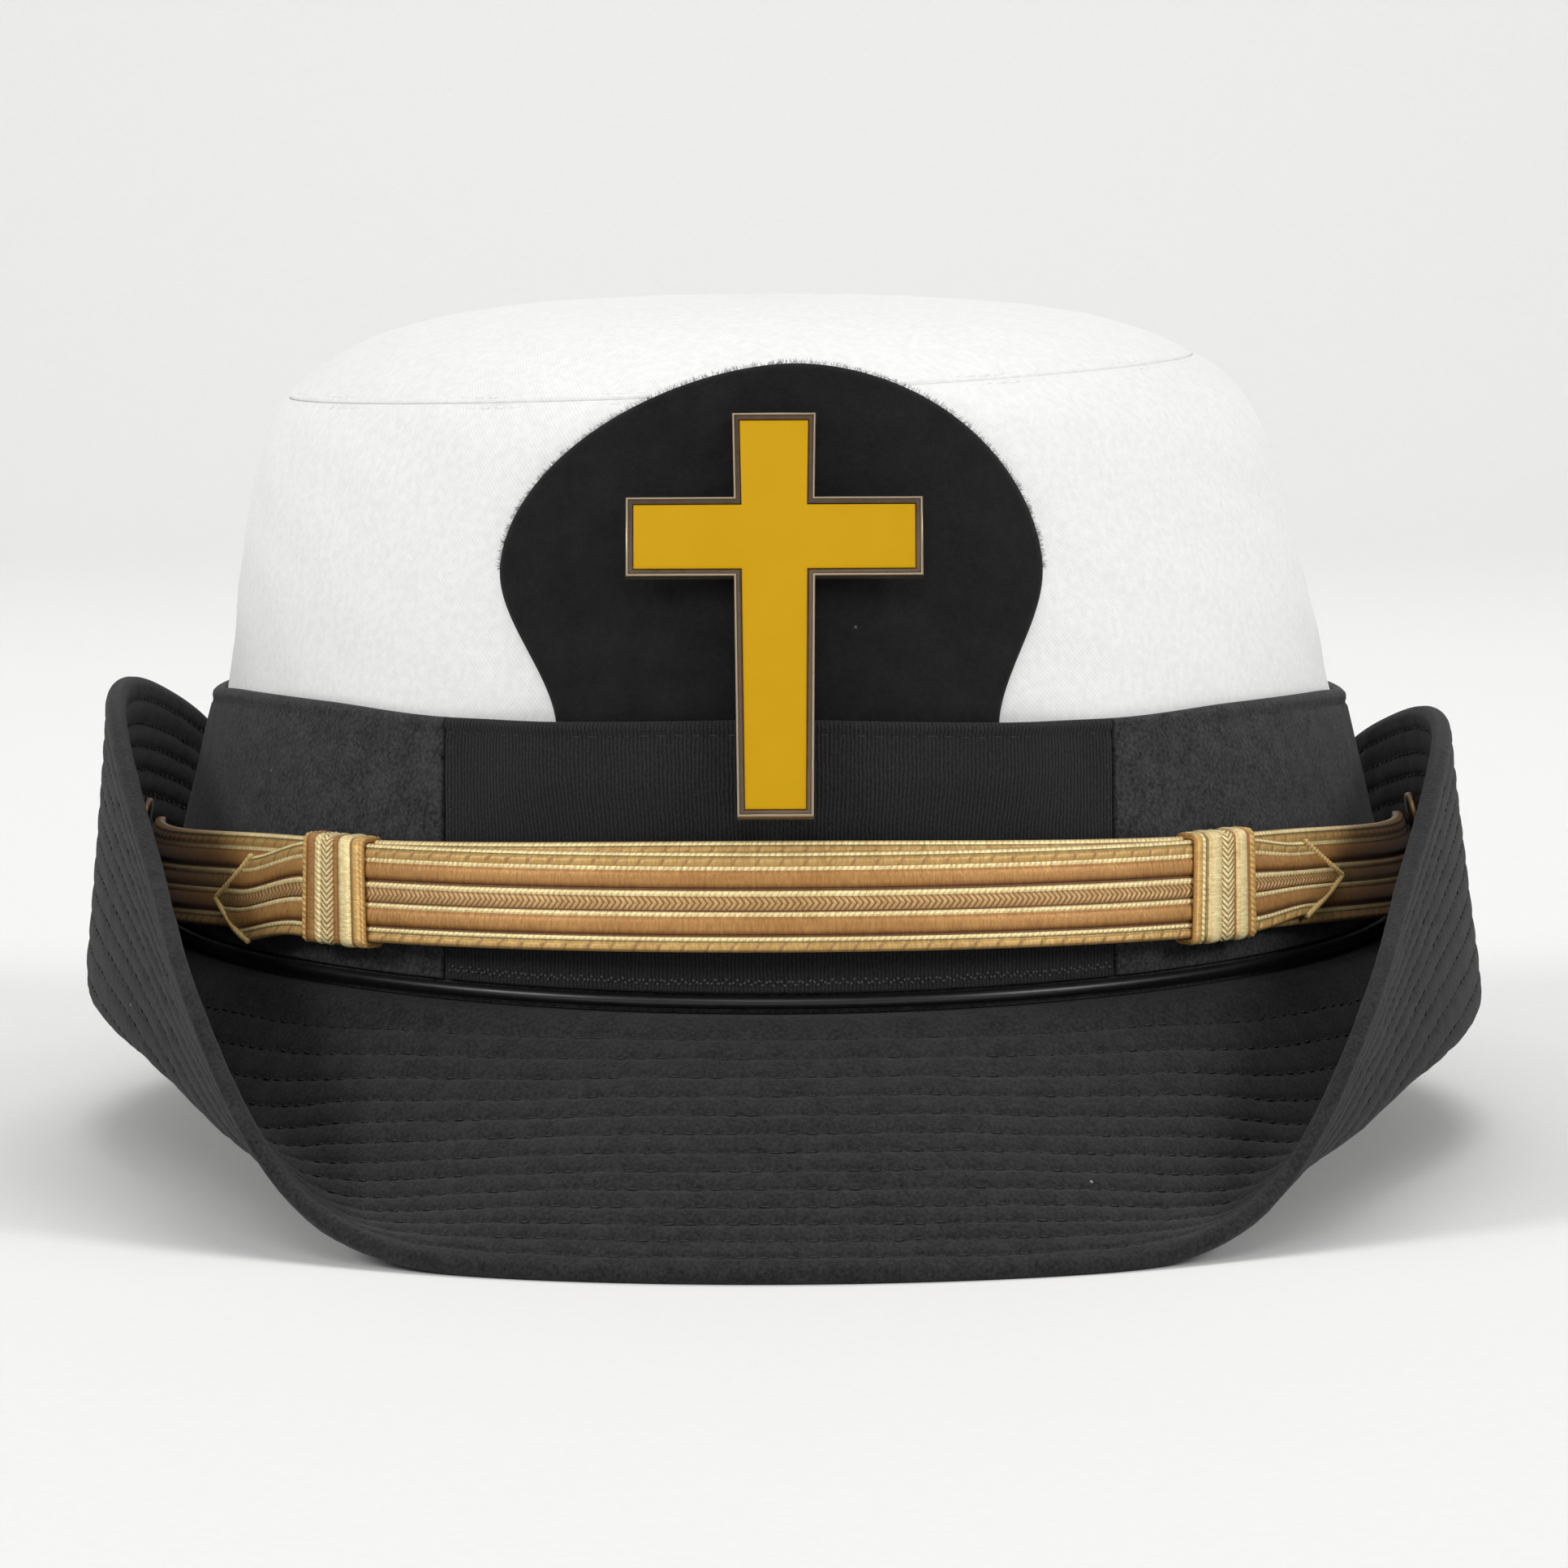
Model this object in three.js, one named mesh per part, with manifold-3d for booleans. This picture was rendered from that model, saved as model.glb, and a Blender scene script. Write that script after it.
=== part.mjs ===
// Uniform cap with a white crown, a black band, a brim rolled up at both sides,
// a gold lace chin strap and an enamelled cross on a felt tab.
// Millimetres, +Z up. The front faces -Y and +X is to the right of someone who looks at the front.
// The origin is under the middle of the cap, on the surface that the brim stands on.
import * as THREE from 'three';
import { mergeVertices } from 'three/addons/utils/BufferGeometryUtils.js';
import Module from 'manifold-3d';

const wasm = await Module();
wasm.setup();

// Driving dimensions

// Place of the head opening over the standing surface
const BASE_X = -0.4;
const BASE_Y = 2.8;
const BASE_Z = 28.9;

// Clearance between neighbouring pieces
const GAP = 0.3;

// Head opening and band; heights are measured from the band's lower front edge
const BAND_HALF_WIDTH = 83;
const BAND_HALF_LENGTH = 103;
const BAND_SIDE_SLOPE = 0.237;
const BAND_FRONT_SLOPE = 0.136;
const BAND_WALL = 1.5;
const BAND_TOP_FRONT = 33;
const BASE_RISE = 1.5;
const PANEL_HALF_WIDTH = 41.2;
const PANEL_BULGE = 1.9;
const PANEL_BULGE_START_Z = 18;
const PANEL_BULGE_FULL_Z = 26;
const PANEL_BULGE_ANGLE = 21;
const PANEL_FLAT_ANGLE = 30;

// The band's upper edge, from the front (0) to the back (180); the whole edge is a little lower on the right
const BAND_TOP_TILT = 0.45;
const BAND_TOP = [
  { angle: 0, z: 33 },
  { angle: 33, z: 31.8 },
  { angle: 50, z: 32.3 },
  { angle: 70, z: 31.6 },
  { angle: 90, z: 29.8 },
  { angle: 120, z: 29.8 },
  { angle: 180, z: 31.5 },
];

// Crown: half width and half length of its outer face at each height
const CROWN_WALL = 2;
const CROWN_LEAN = -1.6;
const CROWN_LEAN_START_Z = 30;
const CROWN_LEAN_FULL_Z = 60;
const CROWN_SHAPE = [
  { z: -4.0, halfWidth: 82.15, halfLength: 101.75 },
  { z: 29.5, halfWidth: 74.2, halfLength: 97.2 },
  { z: 45.5, halfWidth: 71.4, halfLength: 94.0 },
  { z: 56.5, halfWidth: 68.9, halfLength: 91.4 },
  { z: 64.0, halfWidth: 66.8, halfLength: 89.2 },
  { z: 68.6, halfWidth: 64.6, halfLength: 87.0 },
  { z: 72.0, halfWidth: 61.4, halfLength: 83.9 },
  { z: 75.2, halfWidth: 56.3, halfLength: 79.0 },
  { z: 78.4, halfWidth: 48.4, halfLength: 71.0 },
  { z: 80.6, halfWidth: 37.5, halfLength: 59.0 },
  { z: 81.9, halfWidth: 21.0, halfLength: 36.0 },
  { z: 82.3, halfWidth: 0.0, halfLength: 0.0 },
];
const CROWN_BEND_Z = 29.5;
const SHOULDER_Z = 62;
const SEAM_Z = 72;
const SEAM_HALF_WIDTH = 60;
const SEAM_TILT = 0.044;

// Piping under the band
const WELT_RADIUS = 0.8;
const WELT_OUT = -0.1;

// Brim: its seat under the crown, then one row for each section from the front (0) to the back (180).
// R is the distance out from the band's lower edge; corner is where the two straight runs would meet.
// The right flap hangs lower and folds further out than the left one by the tilts, shift and swing.
const BRIM_WALL = 2.6;
const BRIM_DROP = 3.9;
const BRIM_SEAT = 4;
const BRIM_ROOT = 0.8;
const ROOT_REACH = 1.6;
const EDGE_ROUNDNESS = 0.55;
const FLAP_TILT = 2.4;
const FOLD_TILT = 1.3;
const FOLD_SHIFT = 0.5;
const FOLD_SWING = 0.8;
const BRIM_SHAPE = [
  { angle: 0, cornerR: 20, cornerZ: -14.0, edgeR: 41.5, edgeZ: -28.4, roll: 9 },
  { angle: 12, cornerR: 20, cornerZ: -14.5, edgeR: 41.2, edgeZ: -28.6, roll: 9 },
  { angle: 20, cornerR: 33, cornerZ: -26.2, edgeR: 40.5, edgeZ: -27.8, roll: 7 },
  { angle: 28, cornerR: 28, cornerZ: -27.8, edgeR: 37.3, edgeZ: -21.0, roll: 6 },
  { angle: 38, cornerR: 19.3, cornerZ: -24.6, edgeR: 29.5, edgeZ: 0.5, roll: 8 },
  { angle: 48, cornerR: 13.5, cornerZ: -22.5, edgeR: 18.7, edgeZ: 10.5, roll: 9 },
  { angle: 58, cornerR: 10.5, cornerZ: -19.5, edgeR: 12.7, edgeZ: 19.7, roll: 9 },
  { angle: 68, cornerR: 10.3, cornerZ: -17.0, edgeR: 8.7, edgeZ: 26.0, roll: 9 },
  { angle: 78, cornerR: 10.5, cornerZ: -15.5, edgeR: 6.2, edgeZ: 28.6, roll: 9 },
  { angle: 90, cornerR: 10.5, cornerZ: -15.0, edgeR: 4.6, edgeZ: 29.0, roll: 9 },
  { angle: 102, cornerR: 10.5, cornerZ: -15.5, edgeR: 4.6, edgeZ: 26.3, roll: 9 },
  { angle: 115, cornerR: 10.8, cornerZ: -17.5, edgeR: 6.3, edgeZ: 20.0, roll: 9 },
  { angle: 130, cornerR: 13.5, cornerZ: -21.5, edgeR: 13.0, edgeZ: 6.5, roll: 9 },
  { angle: 145, cornerR: 20, cornerZ: -26.0, edgeR: 26.0, edgeZ: -11.0, roll: 8 },
  { angle: 157, cornerR: 29, cornerZ: -27.6, edgeR: 34.5, edgeZ: -26.5, roll: 6 },
  { angle: 168, cornerR: 18, cornerZ: -14.0, edgeR: 35.8, edgeZ: -28.6, roll: 9 },
  { angle: 180, cornerR: 18, cornerZ: -14.0, edgeR: 35.8, edgeZ: -28.4, roll: 9 },
];

// Felt tab: an upper half ellipse over a narrower neck that is tucked behind the front panel
const TAB_WALL = 1.3;
const TAB_HALF_WIDTH = 33.4;
const TAB_WAIST_Z = 50;
const TAB_RISE = 25.6;
const TAB_ROUNDNESS = 1.83;
const TAB_NECK_HALF_WIDTH = 27;
const TAB_FOOT_Z = 27;
const TAB_NECK_Z = 31;
const TAB_SKEW = 3;
const TAB_CENTRE_X = -0.8;
const TAB_NECK_SHIFT = 0.7;
const TAB_OUT = 0.45;
const TAB_STRAIGHT_Z = 60;
const TAB_SLOPE_SPAN = 4;

// Cross: a plate with a raised rim round the enamel, leaning back like the crown's front
const CROSS_HEIGHT = 50;
const CROSS_SPAN = 36;
const CROSS_BAR = 9.8;
const CROSS_HEAD_BAR = 10.2;
const CROSS_FOOT_BAR = 9.2;
const CROSS_ARM_FROM_TOP = 15.4;
const CROSS_THICKNESS = 2.2;
const CROSS_RIM = 0.75;
const CROSS_RECESS = 0.9;
const ENAMEL_SUNK = 0.05;
const CROSS_LEAN = 16.5;
const CROSS_FOOT = { x: -0.4, y: -104.35, z: 21.2 };
const POST_RADIUS = 1;
const POST_LENGTH = 7.6;
const POST_ROOT = 0.2;
const RECESS_CUT = 1;
const POST_HEIGHTS = [21, 33];
const CLUTCH_RADIUS = 3.5;
const CLUTCH_THICKNESS = 1.5;

// Chin strap: distances are measured out from the band's outer face
const STRAP_WIDTH = 12;
const STRAP_WALL = 1.2;
const STRAP_REAR_OUT = 1.5;
const STRAP_FRONT_OUT = 3;
const STRAP_Z = 11.3;
const STRAP_FALL = 2.2;
const STRAP_REAR_RISE = 1.2;
const STRAP_RISE_SHARPNESS = 6;

// Rear layer's ends, which fall and stand off the band towards the buttons and have round tips
const STRAP_END_FALL = 2.5;
const STRAP_FALL_START_ANGLE = 48;
const STRAP_FALL_FULL_ANGLE = 88;
const STRAP_FLARE = 1.6;
const STRAP_FLARE_ANGLE = 66;
const STRAP_ROUND_ANGLE = 88;
const STRAP_END_ANGLE = 92;
const STRAP_TIP_SHARE = 0.45;
const STRAP_TAIL_PARTS = [0.35, 0.65, 0.88, 1];

// Front layer's pointed ends and the slides round both layers
const STRAP_CORNER_ANGLE = 51.6;
const STRAP_TIP_ANGLE = 57.6;
const STRAP_SLANT = 0.15;
const STRAP_LEFT_DROOP = 2.6;
const STRAP_DROOP_MARGIN = 4;
const SLIDE_ANGLE = 40.5;
const SLIDE_LENGTH = 12.2;
const SLIDE_WALL = 0.7;
const SLIDE_OUTER_CHAMFER = 0.6;
const SLIDE_INNER_CHAMFER = 0.2;

// Buttons at the strap's ends, with their outline as shares of the radius and the height
const BUTTON_ANGLE = 87;
const BUTTON_Z = 7.3;
const BUTTON_RADIUS = 7;
const BUTTON_HEIGHT = 2.7;
const BUTTON_SHAPE = [
  { reach: 0.9, rise: 0 },
  { reach: 1, rise: 0.19 },
  { reach: 1, rise: 0.44 },
  { reach: 0.9, rise: 0.56 },
  { reach: 0.72, rise: 0.72 },
  { reach: 0.4, rise: 0.94 },
  { reach: 0, rise: 1 },
];
const SHANK_RADIUS = 1.5;
const SHANK_HOLE_LENGTH = 12;

// Number of facets and rows
const RING_STEPS = 64;
const CROWN_WALL_ROWS = 3;
const CROWN_SHOULDER_ROWS = 4;
const CROWN_TOP_ROWS = 6;
const PANEL_STEPS = 16;
const PANEL_ROWS = 5;
const SIDE_STEPS = 52;
const SIDE_ROWS = 2;
const WELT_SIDES = 6;
const FOLD_STEPS = 4;
const TAB_NECK_ROWS = 6;
const TAB_HEAD_ROWS = 8;
const TAB_COLUMNS = 15;
const POST_SIDES = 12;
const BUTTON_SIDES = 18;
const STRAP_STEPS = 36;
const STRAP_FRONT_STEPS = 32;
const STRAP_FRONT_ROWS = 5;

// Small helpers

const radians = THREE.MathUtils.degToRad;
const lerp = THREE.MathUtils.lerp;
const smooth = (value, from, to) => THREE.MathUtils.smoothstep(value, from, to);

// Value of one column of a table at a place between its rows, on a smooth curve through them
function readTable(rows, key, at, column) {
  const last = rows.length - 1;
  const place = THREE.MathUtils.clamp(at, rows[0][key], rows[last][key]);
  let i = 0;
  while (i < last - 1 && place > rows[i + 1][key]) i += 1;
  const slopeAt = (k) => {
    const before = rows[Math.max(k - 1, 0)];
    const after = rows[Math.min(k + 1, last)];
    return (after[column] - before[column]) / (after[key] - before[key]);
  };
  const step = rows[i + 1][key] - rows[i][key];
  const t = (place - rows[i][key]) / step;
  const blend = t * t * (3 - 2 * t);
  const leave = (t * t * t - 2 * t * t + t) * step * slopeAt(i);
  const arrive = (t * t * t - t * t) * step * slopeAt(i + 1);
  return lerp(rows[i][column], rows[i + 1][column], blend) + leave + arrive;
}

// Closed solid between two grids of points; ring joins the last column to the first
function wallBetween(outer, inner, ring) {
  const columns = outer.length;
  const rows = outer[0].length;
  const positions = [];
  for (const grid of [outer, inner]) {
    for (const column of grid) {
      for (const point of column) positions.push(point.x, point.y, point.z);
    }
  }
  const at = (side, i, j) => side * columns * rows + (i % columns) * rows + j;
  const indices = [];
  const quad = (a, b, c, d) => indices.push(a, b, c, a, c, d);
  const spans = ring ? columns : columns - 1;
  for (let i = 0; i < spans; i += 1) {
    for (let j = 0; j < rows - 1; j += 1) {
      quad(at(0, i, j), at(0, i + 1, j), at(0, i + 1, j + 1), at(0, i, j + 1));
      quad(at(1, i, j + 1), at(1, i + 1, j + 1), at(1, i + 1, j), at(1, i, j));
    }
    quad(at(1, i, 0), at(1, i + 1, 0), at(0, i + 1, 0), at(0, i, 0));
    quad(at(0, i, rows - 1), at(0, i + 1, rows - 1), at(1, i + 1, rows - 1), at(1, i, rows - 1));
  }
  if (!ring) {
    for (let j = 0; j < rows - 1; j += 1) {
      const end = columns - 1;
      quad(at(1, 0, j), at(0, 0, j), at(0, 0, j + 1), at(1, 0, j + 1));
      quad(at(0, end, j), at(1, end, j), at(1, end, j + 1), at(0, end, j + 1));
    }
  }
  return closedGeometry(positions, indices);
}

// Merges equal points, drops collapsed triangles and turns the faces outwards
function closedGeometry(positions, indices) {
  let geometry = new THREE.BufferGeometry();
  geometry.setAttribute('position', new THREE.Float32BufferAttribute(positions, 3));
  geometry.setIndex(indices);
  geometry = mergeVertices(geometry, 1e-4);
  const corners = geometry.index.array;
  const kept = [];
  let volume = 0;
  const a = new THREE.Vector3();
  const b = new THREE.Vector3();
  const c = new THREE.Vector3();
  for (let k = 0; k < corners.length; k += 3) {
    const [p, q, r] = [corners[k], corners[k + 1], corners[k + 2]];
    if (p === q || q === r || r === p) continue;
    kept.push(p, q, r);
    a.fromBufferAttribute(geometry.attributes.position, p);
    b.fromBufferAttribute(geometry.attributes.position, q);
    c.fromBufferAttribute(geometry.attributes.position, r);
    volume += a.dot(b.cross(c));
  }
  geometry.setIndex(volume < 0 ? kept.reverse() : kept);
  return geometry;
}

// A geometry as a solid for joining and cutting, and back
function solidOf(geometry) {
  const bare = geometry.clone();
  bare.deleteAttribute('normal');
  bare.deleteAttribute('uv');
  const merged = mergeVertices(bare, 1e-4);
  return new wasm.Manifold(new wasm.Mesh({
    numProp: 3,
    vertProperties: new Float32Array(merged.attributes.position.array),
    triVerts: new Uint32Array(merged.index.array),
  }));
}

function geometryOf(solid) {
  const mesh = solid.getMesh();
  const geometry = new THREE.BufferGeometry();
  geometry.setAttribute('position', new THREE.Float32BufferAttribute(mesh.vertProperties, 3));
  geometry.setIndex(Array.from(mesh.triVerts));
  return geometry;
}

// Surfaces that the pieces share

// The same angle between -180 and 180
const nearAngle = (angle) => (angle > 180 ? angle - 360 : angle);

// Height of the band's lower edge and of its upper edge
const baseZ = (angle) => BASE_RISE * Math.sin(radians(angle)) ** 2;
const bandTopZ = (angle) => (
  readTable(BAND_TOP, 'angle', Math.abs(nearAngle(angle)), 'z') - BAND_TOP_TILT * Math.sin(radians(angle)));

// Point on the band's outer face, moved out by a distance
function bandPoint(angle, z, out) {
  const halfWidth = BAND_HALF_WIDTH - BAND_SIDE_SLOPE * z + out;
  const halfLength = BAND_HALF_LENGTH - BAND_FRONT_SLOPE * z + out;
  const turn = radians(angle);
  return new THREE.Vector3(halfWidth * Math.sin(turn), -halfLength * Math.cos(turn), z);
}

// How far the front panel is pushed out by the tab behind it
function panelBulge(angle, z) {
  const across = 1 - smooth(Math.abs(angle), PANEL_BULGE_ANGLE, PANEL_FLAT_ANGLE);
  return PANEL_BULGE * across * smooth(z, PANEL_BULGE_START_Z, PANEL_BULGE_FULL_Z);
}

// Horizontal shift of the crown, whose upper part leans a little to one side
const leanAt = (z) => CROWN_LEAN * smooth(z, CROWN_LEAN_START_Z, CROWN_LEAN_FULL_Z);

// Point on the crown's outer face by its place along the profile, 0 at the foot and 1 at the top
const CROWN_PROFILE = (() => {
  let length = 0;
  return CROWN_SHAPE.map((row, k) => {
    const before = CROWN_SHAPE[Math.max(k - 1, 0)];
    length += Math.hypot(row.z - before.z, row.halfWidth - before.halfWidth);
    return { ...row, along: length };
  });
})();
const CROWN_LENGTH = CROWN_PROFILE[CROWN_PROFILE.length - 1].along;

function crownPoint(angle, along) {
  const halfWidth = readTable(CROWN_PROFILE, 'along', along, 'halfWidth');
  const halfLength = readTable(CROWN_PROFILE, 'along', along, 'halfLength');
  const z = readTable(CROWN_PROFILE, 'along', along, 'z');
  const turn = radians(angle);
  return new THREE.Vector3(leanAt(z) + halfWidth * Math.sin(turn), -halfLength * Math.cos(turn), z);
}

// Place along the crown's profile where its face reaches a height
function crownAlong(z) {
  let low = 0;
  let high = CROWN_LENGTH;
  for (let k = 0; k < 40; k += 1) {
    const middle = (low + high) / 2;
    if (readTable(CROWN_PROFILE, 'along', middle, 'z') < z) low = middle;
    else high = middle;
  }
  return low;
}

// The same point moved inwards, square to the face
function crownInside(angle, along, depth) {
  const step = 0.5;
  const from = Math.max(along - step, 0);
  const to = Math.min(along + step, CROWN_LENGTH);
  const up = crownPoint(angle, to).sub(crownPoint(angle, from));
  const round = crownPoint(angle + step, along).sub(crownPoint(angle - step, along));
  const outward = round.cross(up);
  if (along > CROWN_LENGTH - 1e-6) outward.set(0, 0, 1);
  return crownPoint(angle, along).addScaledVector(outward.normalize(), -depth);
}

const ringAngles = Array.from({ length: RING_STEPS }, (_, i) => (i * 360) / RING_STEPS);
const spread = (from, to, count) => (
  Array.from({ length: count }, (_, k) => lerp(from, to, k / (count - 1))));

// Crown

// The tip seam slants a little, so its height depends on where it is across the crown
function seamAlong(angle, above) {
  const across = Math.sin(radians(angle)) * SEAM_HALF_WIDTH;
  return crownAlong(SEAM_Z + SEAM_TILT * across) + above;
}

function crownShell(rowsAt) {
  const outer = ringAngles.map((angle) => rowsAt(angle).map((along) => crownPoint(angle, along)));
  const insideAt = (angle) => rowsAt(angle).map((along) => crownInside(angle, along, CROWN_WALL));
  return wallBetween(outer, ringAngles.map(insideAt), true);
}

function crownSide() {
  const rowsAt = (angle) => {
    const foot = crownAlong(baseZ(angle) - BRIM_DROP + BRIM_WALL / 2 + GAP + CROWN_WALL * BAND_SIDE_SLOPE);
    const shoulder = crownAlong(SHOULDER_Z);
    const wall = spread(crownAlong(CROWN_BEND_Z), shoulder, CROWN_WALL_ROWS);
    return [foot, ...wall, ...spread(shoulder, seamAlong(angle, 0), CROWN_SHOULDER_ROWS).slice(1)];
  };
  return crownShell(rowsAt);
}

function crownTop() {
  const rowsAt = (angle) => spread(seamAlong(angle, GAP), CROWN_LENGTH, CROWN_TOP_ROWS);
  return crownShell(rowsAt);
}

// Band

// Angle of the stitched seam at a height: both seams lie in upright planes beside the middle
function seamAngle(z) {
  return THREE.MathUtils.radToDeg(Math.asin(PANEL_HALF_WIDTH / (BAND_HALF_WIDTH - BAND_SIDE_SLOPE * z)));
}

// Wall through columns of points; each column runs from the lower edge to the upper one
function bandWall(columnSpans, rowSpans, angleAt, outAt) {
  const columns = spread(0, 1, columnSpans + 1).map((across) => spread(0, 1, rowSpans + 1).map((part) => {
    const level = angleAt(across, BAND_TOP_FRONT * part);
    const z = lerp(baseZ(level), bandTopZ(level), part);
    return { angle: angleAt(across, z), z };
  }));
  const faceAt = (inset) => columns.map((column) => (
    column.map(({ angle, z }) => bandPoint(angle, z, outAt(angle, z) - inset))));
  return wallBetween(faceAt(0), faceAt(BAND_WALL), false);
}

function bandFront() {
  const angleAt = (across, z) => lerp(-seamAngle(z), seamAngle(z), across);
  return bandWall(PANEL_STEPS, PANEL_ROWS, angleAt, panelBulge);
}

function bandSide() {
  const clearance = THREE.MathUtils.radToDeg(GAP / (BAND_HALF_WIDTH - BAND_SIDE_SLOPE * BAND_TOP_FRONT));
  const angleAt = (across, z) => lerp(seamAngle(z) + clearance, 360 - seamAngle(z) - clearance, across);
  return bandWall(SIDE_STEPS, SIDE_ROWS, angleAt, () => 0);
}

function bandWelt() {
  const columns = ringAngles.map((angle) => spread(0, 360, WELT_SIDES + 1).map((turn) => {
    const out = WELT_OUT + WELT_RADIUS * Math.cos(radians(turn));
    const rise = WELT_RADIUS * Math.sin(radians(turn)) - WELT_RADIUS - GAP;
    const point = bandPoint(angle, 0, out);
    point.z = baseZ(angle) + rise;
    return point;
  }));
  return tubeAlong(columns);
}

// Closed tube through rings of points whose last point repeats the first
function tubeAlong(columns) {
  const positions = [];
  const indices = [];
  const size = columns[0].length;
  for (const column of columns) {
    for (const point of column) positions.push(point.x, point.y, point.z);
  }
  for (let i = 0; i < columns.length; i += 1) {
    const next = (i + 1) % columns.length;
    for (let j = 0; j < size - 1; j += 1) {
      const [a, b, c, d] = [i * size + j, next * size + j, next * size + j + 1, i * size + j + 1];
      indices.push(a, b, c, a, c, d);
    }
  }
  return closedGeometry(positions, indices);
}

// Brim

// Rounded corner between two straight runs, from one run to the other
function roundCorner(before, corner, after, reach, count) {
  const start = corner.clone().add(before.clone().sub(corner).setLength(reach));
  const end = corner.clone().add(after.clone().sub(corner).setLength(reach));
  const curve = new THREE.QuadraticBezierCurve(start, corner, end);
  return curve.getPoints(count);
}

// Middle line of the brim's cloth at one angle, as points of (distance out, height)
function brimLine(angle) {
  const side = Math.abs(nearAngle(angle));
  const swing = side < 90 ? Math.sin(radians(2 * angle)) : 0;
  const read = (column) => readTable(BRIM_SHAPE, 'angle', side, column);
  const sideways = Math.sin(radians(angle)) * Math.abs(Math.sin(radians(angle)));
  const seatZ = baseZ(angle) - BRIM_DROP;
  const inside = new THREE.Vector2(-BRIM_SEAT, seatZ);
  const root = new THREE.Vector2(BRIM_ROOT, seatZ);
  const corner = new THREE.Vector2(
    read('cornerR') + FOLD_SHIFT * sideways + FOLD_SWING * swing,
    read('cornerZ') - FOLD_TILT * sideways,
  );
  const edge = new THREE.Vector2(read('edgeR'), read('edgeZ') - FLAP_TILT * sideways);
  const fold = roundCorner(root, corner, edge, read('roll'), FOLD_STEPS);
  const bend = roundCorner(inside, root, corner, ROOT_REACH, 1);
  const edgeRun = [0.5, 0.95, 1].map((part) => fold[FOLD_STEPS].clone().lerp(edge, part));
  return [inside, ...bend, bend[1].clone().lerp(fold[0], 0.5), ...fold, ...edgeRun];
}

// Moves a line sideways in its own plane, thinner at its last point where the edge is rounded
function offsetLine(line, distance) {
  return line.map((point, k) => {
    const along = line[Math.min(k + 1, line.length - 1)].clone().sub(line[Math.max(k - 1, 0)]).normalize();
    const amount = k === line.length - 1 ? distance * EDGE_ROUNDNESS : distance;
    return new THREE.Vector2(point.x - along.y * amount, point.y + along.x * amount);
  });
}

function brimPlace(angle, point) {
  const turn = radians(angle);
  const foot = bandPoint(angle, 0, 0);
  const outward = new THREE.Vector3(Math.sin(turn) / BAND_HALF_WIDTH, -Math.cos(turn) / BAND_HALF_LENGTH, 0)
    .normalize();
  foot.addScaledVector(outward, point.x);
  foot.z = point.y;
  return foot;
}

function brim() {
  const faceAt = (distance) => ringAngles.map((angle) => (
    offsetLine(brimLine(angle), distance).map((point) => brimPlace(angle, point))));
  const whole = solidOf(wallBetween(faceAt(BRIM_WALL / 2), faceAt(-BRIM_WALL / 2), true));
  const reach = 4 * BAND_HALF_LENGTH;
  const below = new THREE.BoxGeometry(reach, reach, BASE_Z);
  below.translate(0, 0, -BASE_Z * 1.5);
  return geometryOf(whole.subtract(solidOf(below)));
}

// Felt tab

// Surface that the tab follows: the crown's front face, carried straight on over the shoulder
function tabPoint(x, z, out) {
  const low = { z: TAB_STRAIGHT_Z - TAB_SLOPE_SPAN };
  const high = { z: TAB_STRAIGHT_Z };
  for (const row of [low, high]) {
    row.halfWidth = readTable(CROWN_SHAPE, 'z', row.z, 'halfWidth');
    row.halfLength = readTable(CROWN_SHAPE, 'z', row.z, 'halfLength');
  }
  const carriedOn = (column) => (z < TAB_STRAIGHT_Z
    ? readTable(CROWN_SHAPE, 'z', z, column)
    : lerp(low[column], high[column], (z - low.z) / TAB_SLOPE_SPAN));
  const across = (x - leanAt(z)) / (carriedOn('halfWidth') + out);
  return new THREE.Vector3(x, -(carriedOn('halfLength') + out) * Math.sqrt(1 - across * across), z);
}

function tabRows() {
  const neck = spread(TAB_FOOT_Z, TAB_WAIST_Z, TAB_NECK_ROWS).map((z) => {
    const part = smooth(z, TAB_NECK_Z, TAB_WAIST_Z);
    return {
      z,
      halfWidth: lerp(TAB_NECK_HALF_WIDTH, TAB_HALF_WIDTH, part),
      shift: TAB_NECK_SHIFT * (1 - part),
    };
  });
  const head = spread(0, 90, TAB_HEAD_ROWS).slice(1).map((turn) => {
    const rise = Math.sin(radians(turn)) ** (2 / TAB_ROUNDNESS);
    return {
      z: TAB_WAIST_Z + TAB_RISE * rise,
      halfWidth: TAB_HALF_WIDTH * Math.max(Math.cos(radians(turn)), 0) ** (2 / TAB_ROUNDNESS),
      shift: TAB_SKEW * rise * rise,
    };
  });
  return [...neck, ...head];
}

function deviceTab() {
  const rows = tabRows();
  const across = spread(-1, 1, TAB_COLUMNS);
  const faceAt = (out) => across.map((part) => rows.map((row) => (
    tabPoint(TAB_CENTRE_X + row.shift + part * row.halfWidth, row.z, out))));
  return wallBetween(faceAt(TAB_OUT + TAB_WALL), faceAt(TAB_OUT), false);
}

// Cross

function crossOutline(inset) {
  const half = CROSS_BAR / 2 - inset;
  const headHalf = CROSS_HEAD_BAR / 2 - inset;
  const footHalf = CROSS_FOOT_BAR / 2 - inset;
  const armZ = CROSS_HEIGHT - CROSS_ARM_FROM_TOP;
  const right = [
    [footHalf, inset],
    [half, armZ - half],
    [CROSS_SPAN / 2 - inset, armZ - half],
    [CROSS_SPAN / 2 - inset, armZ + half],
    [half, armZ + half],
    [headHalf, CROSS_HEIGHT - inset],
  ];
  const left = right.map(([x, y]) => [-x, y]).reverse();
  return new THREE.Shape([...right, ...left].map(([x, y]) => new THREE.Vector2(x, y)));
}

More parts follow.
